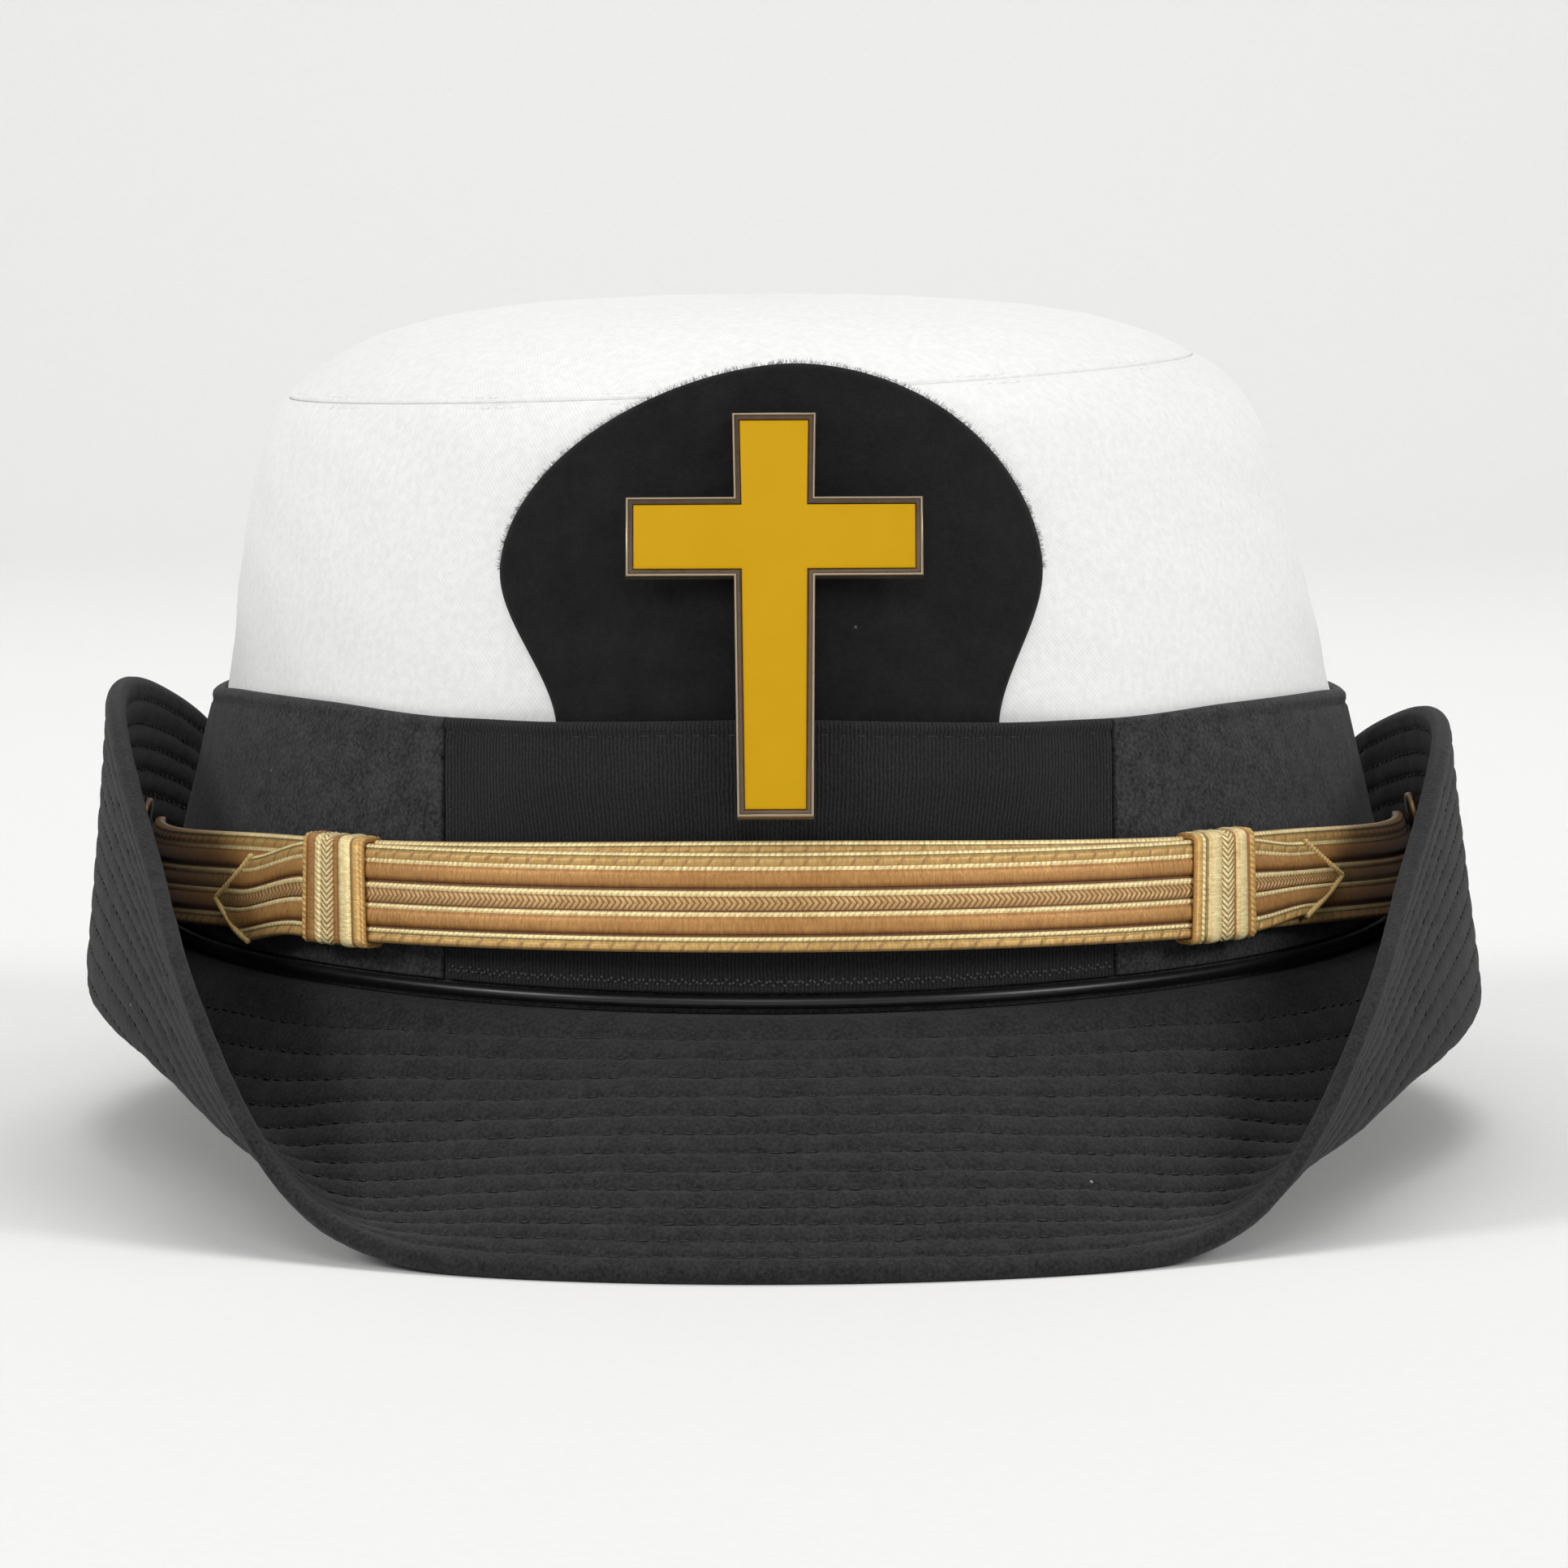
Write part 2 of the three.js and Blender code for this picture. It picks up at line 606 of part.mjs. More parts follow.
function crossPlate(inset, from, depth) {
  const plate = new THREE.ExtrudeGeometry(crossOutline(inset), { depth, bevelEnabled: false });
  plate.translate(0, 0, from);
  return plate;
}

// A round pin from the plate backwards, with its flat keeper inside the crown;
// with some extra radius it is the shape of the pin's hole
function crossPost(height, extra) {
  const tip = POST_LENGTH;
  const neck = tip - CLUTCH_THICKNESS;
  const radius = POST_RADIUS + extra;
  const pin = [[0, 0], [radius, 0], [radius, tip], [0, tip]];
  const keeper = [[radius, neck], [CLUTCH_RADIUS, neck], [CLUTCH_RADIUS, tip], [0, tip]];
  const profile = extra > 0 ? pin : [[0, 0], [radius, 0], ...keeper];
  const points = profile.map(([x, y]) => new THREE.Vector2(x, y));
  const post = new THREE.LatheGeometry(points, POST_SIDES);
  post.rotateX(-Math.PI / 2);
  post.translate(0, height, POST_ROOT);
  return post;
}

function standCross(geometry) {
  geometry.rotateX(Math.PI / 2 - radians(CROSS_LEAN));
  geometry.translate(CROSS_FOOT.x, CROSS_FOOT.y, CROSS_FOOT.z);
  return geometry;
}

function crossFrame() {
  const recess = crossPlate(CROSS_RIM, CROSS_THICKNESS - CROSS_RECESS, CROSS_RECESS + RECESS_CUT);
  const posts = POST_HEIGHTS.map((height) => solidOf(crossPost(height, 0)));
  const plate = solidOf(crossPlate(0, 0, CROSS_THICKNESS)).subtract(solidOf(recess));
  return standCross(geometryOf(posts.reduce((whole, post) => whole.add(post), plate)));
}

function crossEnamel() {
  const floor = CROSS_THICKNESS - CROSS_RECESS + GAP;
  return standCross(crossPlate(CROSS_RIM + GAP, floor, CROSS_RECESS - GAP - ENAMEL_SUNK));
}

// Holes for the two posts
function withPostHoles(geometry) {
  const holes = POST_HEIGHTS.map((height) => solidOf(standCross(crossPost(height, GAP))));
  return geometryOf(holes.reduce((whole, hole) => whole.subtract(hole), solidOf(geometry)));
}

// Chin strap

// Height of the strap's middle line
function strapZ(angle) {
  const endFall = STRAP_END_FALL * smooth(Math.abs(angle), STRAP_FALL_START_ANGLE, STRAP_FALL_FULL_ANGLE);
  return STRAP_Z - STRAP_FALL * Math.sin(radians(angle)) ** 2 - endFall;
}

// How far the rear layer rises over that line at the front, and how far it is out from the band
const rearRise = (angle) => STRAP_REAR_RISE * Math.cos(radians(angle)) ** STRAP_RISE_SHARPNESS;
const rearOut = (angle) => (
  STRAP_REAR_OUT + STRAP_FLARE * smooth(Math.abs(angle), STRAP_FLARE_ANGLE, STRAP_END_ANGLE));

// The front layer's left end hangs a little past its slide
const frontDroop = (angle) => -STRAP_LEFT_DROOP
  * smooth(-angle, SLIDE_ANGLE + STRAP_DROOP_MARGIN, STRAP_TIP_ANGLE - STRAP_DROOP_MARGIN);

function rearStrapWall(angles, halfWidthAt) {
  const across = spread(-1, 1, 3);
  const middleAt = (angle) => strapZ(angle) + rearRise(angle);
  const faceAt = (thick) => angles.map((angle) => across.map((part) => (
    bandPoint(angle, middleAt(angle) + part * halfWidthAt(angle), rearOut(angle) + thick))));
  return wallBetween(faceAt(STRAP_WALL), faceAt(0), false);
}

function chinStrapRear() {
  const tail = STRAP_TAIL_PARTS.map((part) => lerp(STRAP_ROUND_ANGLE, STRAP_END_ANGLE, part));
  const middle = spread(-STRAP_ROUND_ANGLE, STRAP_ROUND_ANGLE, STRAP_STEPS + 1);
  const angles = [...tail.map((angle) => -angle).reverse(), ...middle, ...tail];
  const halfWidthAt = (angle) => {
    const past = Math.max(0, (Math.abs(angle) - STRAP_ROUND_ANGLE) / (STRAP_END_ANGLE - STRAP_ROUND_ANGLE));
    return (STRAP_WIDTH / 2) * lerp(STRAP_TIP_SHARE, 1, Math.sqrt(1 - past * past));
  };
  const strap = rearStrapWall(angles, halfWidthAt);
  const holes = [-1, 1].map((side) => {
    const radius = SHANK_RADIUS + GAP;
    const hole = new THREE.CylinderGeometry(radius, radius, SHANK_HOLE_LENGTH, POST_SIDES);
    return solidOf(placeOnBand(hole, side * BUTTON_ANGLE, BUTTON_Z));
  });
  return geometryOf(holes.reduce((whole, hole) => whole.subtract(hole), solidOf(strap)));
}

// The middle row reaches further than the two edges, which makes a point at each end
function chinStrapFront() {
  const acrossParts = spread(-1, 1, STRAP_FRONT_ROWS);
  const columns = spread(-1, 1, STRAP_FRONT_STEPS + 1).map((part) => acrossParts.map((across) => {
    const up = (across * STRAP_WIDTH) / 2;
    const end = lerp(STRAP_TIP_ANGLE, STRAP_CORNER_ANGLE + STRAP_SLANT * up, Math.abs(across));
    const angle = part * end;
    return { angle, z: strapZ(angle) + frontDroop(angle) + up };
  }));
  const faceAt = (out) => columns.map((column) => column.map(({ angle, z }) => bandPoint(angle, z, out)));
  return wallBetween(faceAt(STRAP_FRONT_OUT + STRAP_WALL), faceAt(STRAP_FRONT_OUT), false);
}

// Closed band of lace round both layers
function slide(side) {
  const angle = side * SLIDE_ANGLE;
  const middle = strapZ(angle) + rearRise(angle) / 2;
  const hollowHalf = STRAP_WIDTH / 2 + rearRise(angle) / 2 + GAP;
  const nearOut = STRAP_REAR_OUT - GAP;
  const farOut = STRAP_FRONT_OUT + STRAP_WALL + GAP;
  const loop = (grow, chamfer) => {
    const [low, high] = [nearOut - grow, farOut + grow];
    const half = hollowHalf + grow;
    const upper = [
      [low, half - chamfer], [low + chamfer, half], [high - chamfer, half], [high, half - chamfer],
    ];
    const lower = upper.map(([out, up]) => [out, -up]).reverse();
    return [...upper, [high, 0], ...lower];
  };
  const halfAngle = THREE.MathUtils.radToDeg(SLIDE_LENGTH / 2 / bandPoint(angle, middle, farOut).length());
  const ends = spread(angle - halfAngle, angle + halfAngle, 3);
  const grid = (shape) => shape.map(([out, up]) => (
    ends.map((turn) => bandPoint(turn + side * STRAP_SLANT * up, middle + up, out))));
  const outer = grid(loop(SLIDE_WALL, SLIDE_OUTER_CHAMFER));
  const inner = grid(loop(0, SLIDE_INNER_CHAMFER));
  return wallBetween(outer, inner, true);
}

// Stands a piece that is turned about Y square on the band's outer face
function placeOnBand(geometry, angle, z) {
  const turn = radians(angle);
  const place = bandPoint(angle, z, 0);
  const outward = new THREE.Vector3(
    Math.sin(turn) / BAND_HALF_WIDTH,
    -Math.cos(turn) / BAND_HALF_LENGTH,
    BAND_SIDE_SLOPE / BAND_HALF_WIDTH,
  ).normalize();
  geometry.applyQuaternion(new THREE.Quaternion().setFromUnitVectors(new THREE.Vector3(0, 1, 0), outward));
  geometry.translate(place.x, place.y, place.z);
  return geometry;
}

// Domed button with a rim and a shank that goes through the strap
function button(side) {
  const foot = rearOut(STRAP_END_ANGLE) + STRAP_WALL + GAP;
  const shank = [[0, GAP], [SHANK_RADIUS, GAP], [SHANK_RADIUS, foot]];
  const face = BUTTON_SHAPE.map(({ reach, rise }) => [BUTTON_RADIUS * reach, foot + BUTTON_HEIGHT * rise]);
  const points = [...shank, ...face].map(([x, y]) => new THREE.Vector2(x, y));
  const turned = closedLathe(points, BUTTON_SIDES);
  return placeOnBand(turned, side * BUTTON_ANGLE, BUTTON_Z);
}

function closedLathe(points, sides) {
  const lathe = new THREE.LatheGeometry(points, sides);
  return closedGeometry(Array.from(lathe.attributes.position.array), Array.from(lathe.index.array));
}

// Finishes

const finish = (color, roughness, metalness) => (
  new THREE.MeshStandardMaterial({ color, roughness, metalness }));
const whiteCloth = finish('#f4f4f2', 0.9, 0);
const blackWool = finish('#26272a', 0.95, 0);
const ribbedCloth = finish('#1f1f20', 0.9, 0);
const blackFelt = finish('#1c1c1c', 1, 0);
const patentPiping = finish('#0c0c0d', 0.25, 0);
const goldLace = finish('#c99a55', 0.55, 0.2);
const darkBronze = finish('#4b3b28', 0.4, 1);
const bronze = finish('#8c7350', 0.35, 1);
const yellowEnamel = finish('#d2a316', 0.3, 0);

// Assembly

const cap = new THREE.Group();
cap.position.set(BASE_X, BASE_Y, BASE_Z);

function addPiece(name, geometry, material) {
  const piece = new THREE.Mesh(geometry, material);
  piece.name = name;
  cap.add(piece);
}

addPiece('crown_side', withPostHoles(crownSide()), whiteCloth);
addPiece('crown_top', crownTop(), whiteCloth);
addPiece('band_side', bandSide(), blackWool);
addPiece('band_front', bandFront(), ribbedCloth);
addPiece('band_welt', bandWelt(), patentPiping);
addPiece('brim', brim(), blackWool);
addPiece('device_tab', withPostHoles(deviceTab()), blackFelt);
addPiece('cross_frame', crossFrame(), bronze);
addPiece('cross_enamel', crossEnamel(), yellowEnamel);
addPiece('chin_strap_rear', chinStrapRear(), goldLace);
addPiece('chin_strap_front', chinStrapFront(), goldLace);
for (const [side, word] of [[-1, 'left'], [1, 'right']]) {
  addPiece(`slide_${word}`, slide(side), goldLace);
  addPiece(`button_${word}`, button(side), darkBronze);
}

export default cap;
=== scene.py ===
import math

import bmesh
import bpy
import numpy as np
from mathutils import Matrix, Vector


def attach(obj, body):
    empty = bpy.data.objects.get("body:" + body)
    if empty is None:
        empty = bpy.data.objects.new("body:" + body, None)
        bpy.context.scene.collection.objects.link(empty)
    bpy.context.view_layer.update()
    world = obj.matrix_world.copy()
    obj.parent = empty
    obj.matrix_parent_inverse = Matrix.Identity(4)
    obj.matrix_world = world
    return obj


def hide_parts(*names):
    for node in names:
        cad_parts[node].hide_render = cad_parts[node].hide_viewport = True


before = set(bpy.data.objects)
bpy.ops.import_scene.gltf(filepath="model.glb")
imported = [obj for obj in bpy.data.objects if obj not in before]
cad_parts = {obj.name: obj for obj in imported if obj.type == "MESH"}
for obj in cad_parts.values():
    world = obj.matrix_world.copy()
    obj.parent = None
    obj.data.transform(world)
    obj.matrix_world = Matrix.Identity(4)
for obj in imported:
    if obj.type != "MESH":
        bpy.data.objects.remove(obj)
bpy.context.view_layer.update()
rng = np.random.default_rng(20)


def table(columns, *rows):
    """Rows of values as dictionaries by the names of their columns."""
    return [dict(zip(columns.split(), row)) for row in rows]



# Sizes are in millimetres and the scene is in metres.
# Heights are measured from the band's lower front edge, and angles from the front towards +X.
MM = 0.001

# Place of the head opening over the floor
BASE = np.array((-0.4, 2.8, 28.9))
GAP = 0.3

# Head opening and band
BAND_HALF_WIDTH = 83
BAND_HALF_LENGTH = 103
BAND_SIDE_SLOPE = 0.237
BAND_FRONT_SLOPE = 0.136
BAND_WALL = 1.5
BAND_EDGE_RADIUS = 0.5
BAND_TOP_FRONT = 33
BAND_TOP_TILT = 0.45
BAND_TOP = table(
    "angle z",
    (0, 33),
    (33, 31.8),
    (50, 32.3),
    (70, 31.6),
    (90, 29.8),
    (120, 29.8),
    (180, 31.5),
)
BASE_RISE = 1.5
PANEL_HALF_WIDTH = 41.2
PANEL_BULGE = 1.9
PANEL_BULGE_START_Z = 18
PANEL_BULGE_FULL_Z = 26
PANEL_BULGE_ANGLE = 21
PANEL_FLAT_ANGLE = 30
BAND_TOP_ROLL = 1.5
BAND_STITCH_DROP = 1.75
SEAM_STITCH_AWAY = 0.9
ZIGZAG_PITCH = 1.3
ZIGZAG_HEIGHT = 0.35
ZIGZAG_RISE = 1.3

# Crown: half width and half length of its outer face at each height
CROWN_WALL = 2
CROWN_EDGE_RADIUS = 0.45
CROWN_LEAN = -1.6
CROWN_LEAN_START_Z = 30
CROWN_LEAN_FULL_Z = 60
CROWN_SHAPE = table(
    "z half_width half_length",
    (-4, 82.15, 101.75),
    (29.5, 74.2, 97.2),
    (45.5, 71.4, 94),
    (56.5, 68.9, 91.4),
    (64, 66.8, 89.2),
    (68.6, 64.6, 87),
    (72, 61.4, 83.9),
    (75.2, 56.3, 79),
    (78.4, 48.4, 71),
    (80.6, 37.5, 59),
    (81.9, 21, 36),
    (82.3, 0, 0),
)
SEAM_Z = 72
SEAM_HALF_WIDTH = 60
SEAM_TILT = 0.044
SEAM_SLIT = 0.1
TOPSTITCH_AWAY = 0.9

# Piping under the band
WELT_RADIUS = 0.8
WELT_OUT = -0.1
TAPE_WALL = 0.4
TAPE_OUT = -0.95
TAPE_FOOT = 2.5
TAPE_HEAD = 0.1

# Brim: one row for each section from the front (0) to the back (180); r is the distance out
# from the band's lower edge, and the corner is where the section's two straight runs would meet
BRIM_WALL = 2.6
BRIM_DROP = 3.9
BRIM_SEAT = 4
BRIM_ROOT = 0.8
BRIM_EDGE_RADIUS = 1.15
ROOT_REACH = 1.6
FLAP_TILT = 2.4
FOLD_TILT = 1.3
FOLD_SHIFT = 0.5
FOLD_SWING = 0.8
BRIM_SHAPE = table(
    "angle corner_r corner_z edge_r edge_z roll",
    (0, 20, -14, 41.5, -28.4, 9),
    (12, 20, -14.5, 41.2, -28.6, 9),
    (20, 33, -26.2, 40.5, -27.8, 7),
    (28, 28, -27.8, 37.3, -21, 6),
    (38, 19.3, -24.6, 29.5, 0.5, 8),
    (48, 13.5, -22.5, 18.7, 10.5, 9),
    (58, 10.5, -19.5, 12.7, 19.7, 9),
    (68, 10.3, -17, 8.7, 26, 9),
    (78, 10.5, -15.5, 6.2, 28.6, 9),
    (90, 10.5, -15, 4.6, 29, 9),
    (102, 10.5, -15.5, 4.6, 26.3, 9),
    (115, 10.8, -17.5, 6.3, 20, 9),
    (130, 13.5, -21.5, 13, 6.5, 9),
    (145, 20, -26, 26, -11, 8),
    (157, 29, -27.6, 34.5, -26.5, 6),
    (168, 18, -14, 35.8, -28.6, 9),
    (180, 18, -14, 35.8, -28.4, 9),
)
BRIM_COLUMNS = 360
BRIM_SOFTENING = 3
STITCH_ROWS = 12
FIRST_STITCH_ROW = 4.2
STITCH_ROW_PITCH = 4.05
STITCH_ROW_NARROWING = 0.058
EDGE_STITCH_INSET = 2.9
STITCH_SINK = 0.26

# Stitches of each seam: from one to the next, how long and wide they are and how far they stray.
# A zigzag has two.
STITCHES = {row["seam"]: row for row in table(
    "seam pitch length width stray",
    ("crown_seam", 2.4, 1.9, 0.34, 0.03),
    ("band_top", 2.2, 1.7, 0.3, 0.04),
    ("band_seam", 1.3, 0.8, 0.25, 0.2),
    ("zigzag", 0.65, 0.5, 0.36, 0.04),
    ("brim_row", 2.5, 1.5, 0.34, 0.06),
    ("brim_edge", 2.5, 1.7, 0.36, 0.06),
)}

# Felt tab
TAB_WALL = 1.3
TAB_HALF_WIDTH = 33.4
TAB_WAIST_Z = 50
TAB_RISE = 25.6
TAB_ROUNDNESS = 1.83
TAB_NECK_HALF_WIDTH = 27
TAB_FOOT_Z = 27
TAB_NECK_Z = 31
TAB_SKEW = 3
TAB_CENTRE_X = -0.8
TAB_NECK_SHIFT = 0.7
TAB_OUT = 0.45
TAB_STRAIGHT_Z = 60
TAB_SLOPE_SPAN = 4
FIBRE_COUNT = 1500
FIBRE_RADIUS = 0.018

# Cross
CROSS_HEIGHT = 50
CROSS_SPAN = 36
CROSS_BAR = 9.8
CROSS_HEAD_BAR = 10.2
CROSS_FOOT_BAR = 9.2
CROSS_ARM_FROM_TOP = 15.4
CROSS_THICKNESS = 2.2
CROSS_RECESS = 0.9
CROSS_LEAN = 16.5
CROSS_FOOT = (-0.4, -104.35, 21.2)
POST_RADIUS = 1
POST_LENGTH = 7.6
POST_HEIGHTS = (21, 33)
CLUTCH_RADIUS = 3.5
CLUTCH_THICKNESS = 1.5

# Chin strap
STRAP_WIDTH = 12
STRAP_WALL = 1.2
STRAP_EDGE_RADIUS = 0.35
STRAP_LACE_SINK = 0.26
STRAP_TAKE_UP = 0.97
BINDING_RADIUS = 0.46
STRAP_REAR_OUT = 1.5
STRAP_FRONT_OUT = 3
STRAP_Z = 11.3
STRAP_FALL = 2.2
STRAP_REAR_RISE = 1.2
STRAP_RISE_SHARPNESS = 6

# Rear layer's ends, which fall and stand off the band towards the buttons and have round tips
STRAP_END_FALL = 2.5
STRAP_FALL_START_ANGLE = 48
STRAP_FALL_FULL_ANGLE = 88
STRAP_FLARE = 1.6
STRAP_FLARE_ANGLE = 66
STRAP_ROUND_ANGLE = 88
STRAP_END_ANGLE = 92
STRAP_TIP_SHARE = 0.45

# Front layer's pointed ends and the slides round both layers
STRAP_CORNER_ANGLE = 51.6
STRAP_TIP_ANGLE = 57.6
STRAP_SLANT = 0.15
STRAP_LEFT_DROOP = 2.2
STRAP_DROOP_MARGIN = 4
STRAP_RIGHT_TAPER = 0.24
STRAP_LEFT_TAPER = 0.09
STRAP_LEFT_SHORT = 0.6
SLIDE_ANGLE = 40.5
SLIDE_LENGTH = 12.2
SLIDE_WALL = 0.5
SLIDE_CLEARANCE = 0.1
SLIDE_CORNER = 1.3
SLIDE_EDGE_RADIUS = 0.25
SLIDE_LACE_SINK = 0.2
SLIDE_BEND_RADIUS = 97

# Lace across its width: where a strand starts, how high it stands and how its thread is laid.
# The lace is darker near the buttons, which the photograph shows in the flaps' deep shade.
CORD_PITCH = 0.72
LACE_SLANT = 0.55
LACE_SHADE_START_X = 66
LACE_SHADE_FULL_X = 82
LACE_END_SHADE = 0.2
HERRINGBONE_SLANT = 0.8
BRAID_PITCH = 2.8
STRAP_LACE = table(
    "start height colour lay",
    (0, 0.26, "old_gold", "braid"),
    (1.2, 0, "olive", "flat"),
    (1.38, 0.24, "cream", "cord"),
    (1.86, 0, "brown", "flat"),
    (2.22, 0.34, "copper", "satin"),
    (4.28, 0.32, "cream", "cord"),
    (4.86, 0, "brown", "flat"),
    (5.1, 0.26, "biscuit", "herringbone"),
    (6.74, 0.3, "cream", "cord"),
    (7.4, 0, "brown", "flat"),
    (7.8, 0.34, "copper", "satin"),
    (9.84, 0.3, "cream", "cord"),
    (10.3, 0.26, "old_gold", "braid"),
    (11.32, 0, "olive", "flat"),
    (11.55, 0.16, "cream", "cord"),
)
LEFT_SLIDE_LACE = table(
    "start height colour lay",
    (0, 0.22, "gold", "cord"),
    (1, 0.18, "copper", "satin"),
    (2.7, 0.24, "cream", "cord"),
    (3.9, 0.22, "cream", "herringbone"),
    (6.4, 0.08, "copper", "satin"),
    (7.4, 0.28, "cream", "satin"),
    (9.7, 0, "olive", "flat"),
    (10.1, 0.22, "gold", "satin"),
    (11.5, 0.2, "gold", "cord"),
)
RIGHT_SLIDE_LACE = table(
    "start height colour lay",
    (0, 0.22, "gold", "satin"),
    (1.3, 0.26, "cream", "cord"),
    (2, 0, "olive", "flat"),
    (2.4, 0.28, "cream", "satin"),
    (5.1, 0.22, "cream", "herringbone"),
    (7.5, 0.04, "copper", "flat"),
    (8, 0.28, "cream", "satin"),
    (10.3, 0.06, "copper", "flat"),
    (10.9, 0.22, "gold", "cord"),
)
LACE_COLOURS = {
    "cream": "#ffe9ac",
    "gold": "#e2b66c",
    "old_gold": "#c29a5a",
    "copper": "#b38145",
    "biscuit": "#c8a068",
    "brown": "#6a4420",
    "olive": "#8b7a45",
}

# Buttons at the strap's ends
BUTTON_ANGLE = 87
BUTTON_Z = 7.3
BUTTON_RADIUS = 7
BUTTON_HEIGHT = 2.7
BUTTON_RIM_HEIGHT = 1.3
SHANK_RADIUS = 1.5


# Shapes that the pieces share

def smooth(value, start, end):
    part = np.clip((value - start) / (end - start), 0, 1)
    return part * part * (3 - 2 * part)


def lerp(start, end, part):
    return start + (end - start) * part


def read_table(rows, key, at, column):
    """One column of a table at places between its rows, on a smooth curve through them."""
    places = np.array([row[key] for row in rows], float)
    values = np.array([row[column] for row in rows], float)
    slopes = np.empty_like(values)
    slopes[1:-1] = (values[2:] - values[:-2]) / (places[2:] - places[:-2])
    slopes[0] = (values[1] - values[0]) / (places[1] - places[0])
    slopes[-1] = (values[-1] - values[-2]) / (places[-1] - places[-2])
    at = np.clip(at, places[0], places[-1])
    i = np.clip(np.searchsorted(places, at, side="right") - 1, 0, len(places) - 2)
    step = places[i + 1] - places[i]
    t = (at - places[i]) / step
    leave = (t**3 - 2 * t**2 + t) * step * slopes[i]
    arrive = (t**3 - t**2) * step * slopes[i + 1]
    return lerp(values[i], values[i + 1], t * t * (3 - 2 * t)) + leave + arrive


def points(x, y, z):
    return np.stack(np.broadcast_arrays(x, y, z), axis=-1).astype(float)


def flat_map(along, across):
    """Where points of a piece lie in its flat cloth."""
    return points(along, across, 0)[..., :2]


def unit(vectors):
    return vectors / np.maximum(np.linalg.norm(vectors, axis=-1, keepdims=True), 1e-9)


def headings(line):
    """Direction of a line at each of its points; a closed line runs on over its joint."""
    steps = np.diff(line, axis=0)
    closed = np.allclose(line[0], line[-1])
    before = np.concatenate((steps[-1:] if closed else steps[:1], steps))
    after = np.concatenate((steps, steps[:1] if closed else steps[-1:]))
    return unit(before + after)


def run_along(line):
    """Distance from the first point of a line to each of its points."""
    steps = np.linalg.norm(np.diff(line, axis=0), axis=-1)
    return np.concatenate(([0], np.cumsum(steps)))


def base_z(angle):
    return BASE_RISE * np.sin(np.radians(angle)) ** 2


def near_angle(angle):
    """The same angle between -180 and 180."""
    return np.where(angle > 180, angle - 360, angle)


def band_top_z(angle):
    level = read_table(BAND_TOP, "angle", np.abs(near_angle(angle)), "z")
    return level - BAND_TOP_TILT * np.sin(np.radians(angle))


def band_point(angle, z, out):
    turn = np.radians(angle)
    half_width = BAND_HALF_WIDTH - BAND_SIDE_SLOPE * z + out
    half_length = BAND_HALF_LENGTH - BAND_FRONT_SLOPE * z + out
    return points(half_width * np.sin(turn), -half_length * np.cos(turn), z)


def outward_at(angle):
    turn = np.radians(angle)
    return unit(points(np.sin(turn) / BAND_HALF_WIDTH, -np.cos(turn) / BAND_HALF_LENGTH, 0))


def girth(angle):
    """Distance round the band's lower edge from the front to an angle."""
    steps = np.linspace(-360, 360, 2881)
    run = run_along(band_point(steps, 0, 0))
    return np.interp(angle, steps, run - run[1440])


def panel_bulge(angle, z):
    across = 1 - smooth(np.abs(angle), PANEL_BULGE_ANGLE, PANEL_FLAT_ANGLE)
    return PANEL_BULGE * across * smooth(z, PANEL_BULGE_START_Z, PANEL_BULGE_FULL_Z)


def lean_at(z):
    return CROWN_LEAN * smooth(z, CROWN_LEAN_START_Z, CROWN_LEAN_FULL_Z)


def crown_profile():
    steps = [0.0]
    for before, row in zip(CROWN_SHAPE, CROWN_SHAPE[1:]):
        steps.append(math.hypot(row["z"] - before["z"], row["half_width"] - before["half_width"]))
    return [dict(row, along=place) for row, place in zip(CROWN_SHAPE, np.cumsum(steps))]


CROWN_PROFILE = crown_profile()
CROWN_LENGTH = CROWN_PROFILE[-1]["along"]


def crown_point(angle, along):
    half_width = read_table(CROWN_PROFILE, "along", along, "half_width")
    half_length = read_table(CROWN_PROFILE, "along", along, "half_length")
    z = read_table(CROWN_PROFILE, "along", along, "z")
    turn = np.radians(angle)
    return points(lean_at(z) + half_width * np.sin(turn), -half_length * np.cos(turn), z)


def crown_along(z):
    """Place along the crown's profile where its face reaches a height."""
    places = np.linspace(0, CROWN_LENGTH, 2000)
    return np.interp(z, read_table(CROWN_PROFILE, "along", places, "z"), places)


def crown_face(angle, along, out):
    """Point of the crown's outer face, moved out square to it."""
    step = 0.5
    above = crown_point(angle, np.minimum(along + step, CROWN_LENGTH))
    below = crown_point(angle, np.maximum(along - step, 0))
    around = crown_point(angle + step, along) - crown_point(angle - step, along)
    outward = unit(np.cross(around, above - below))
    at_top = along + 0 * angle > CROWN_LENGTH - 1e-6
    outward[at_top] = (0, 0, 1)
    return crown_point(angle, along) + outward * np.asarray(out)[..., None]


def seam_along(angle):
    across = np.sin(np.radians(angle)) * SEAM_HALF_WIDTH
    return crown_along(SEAM_Z + SEAM_TILT * across)


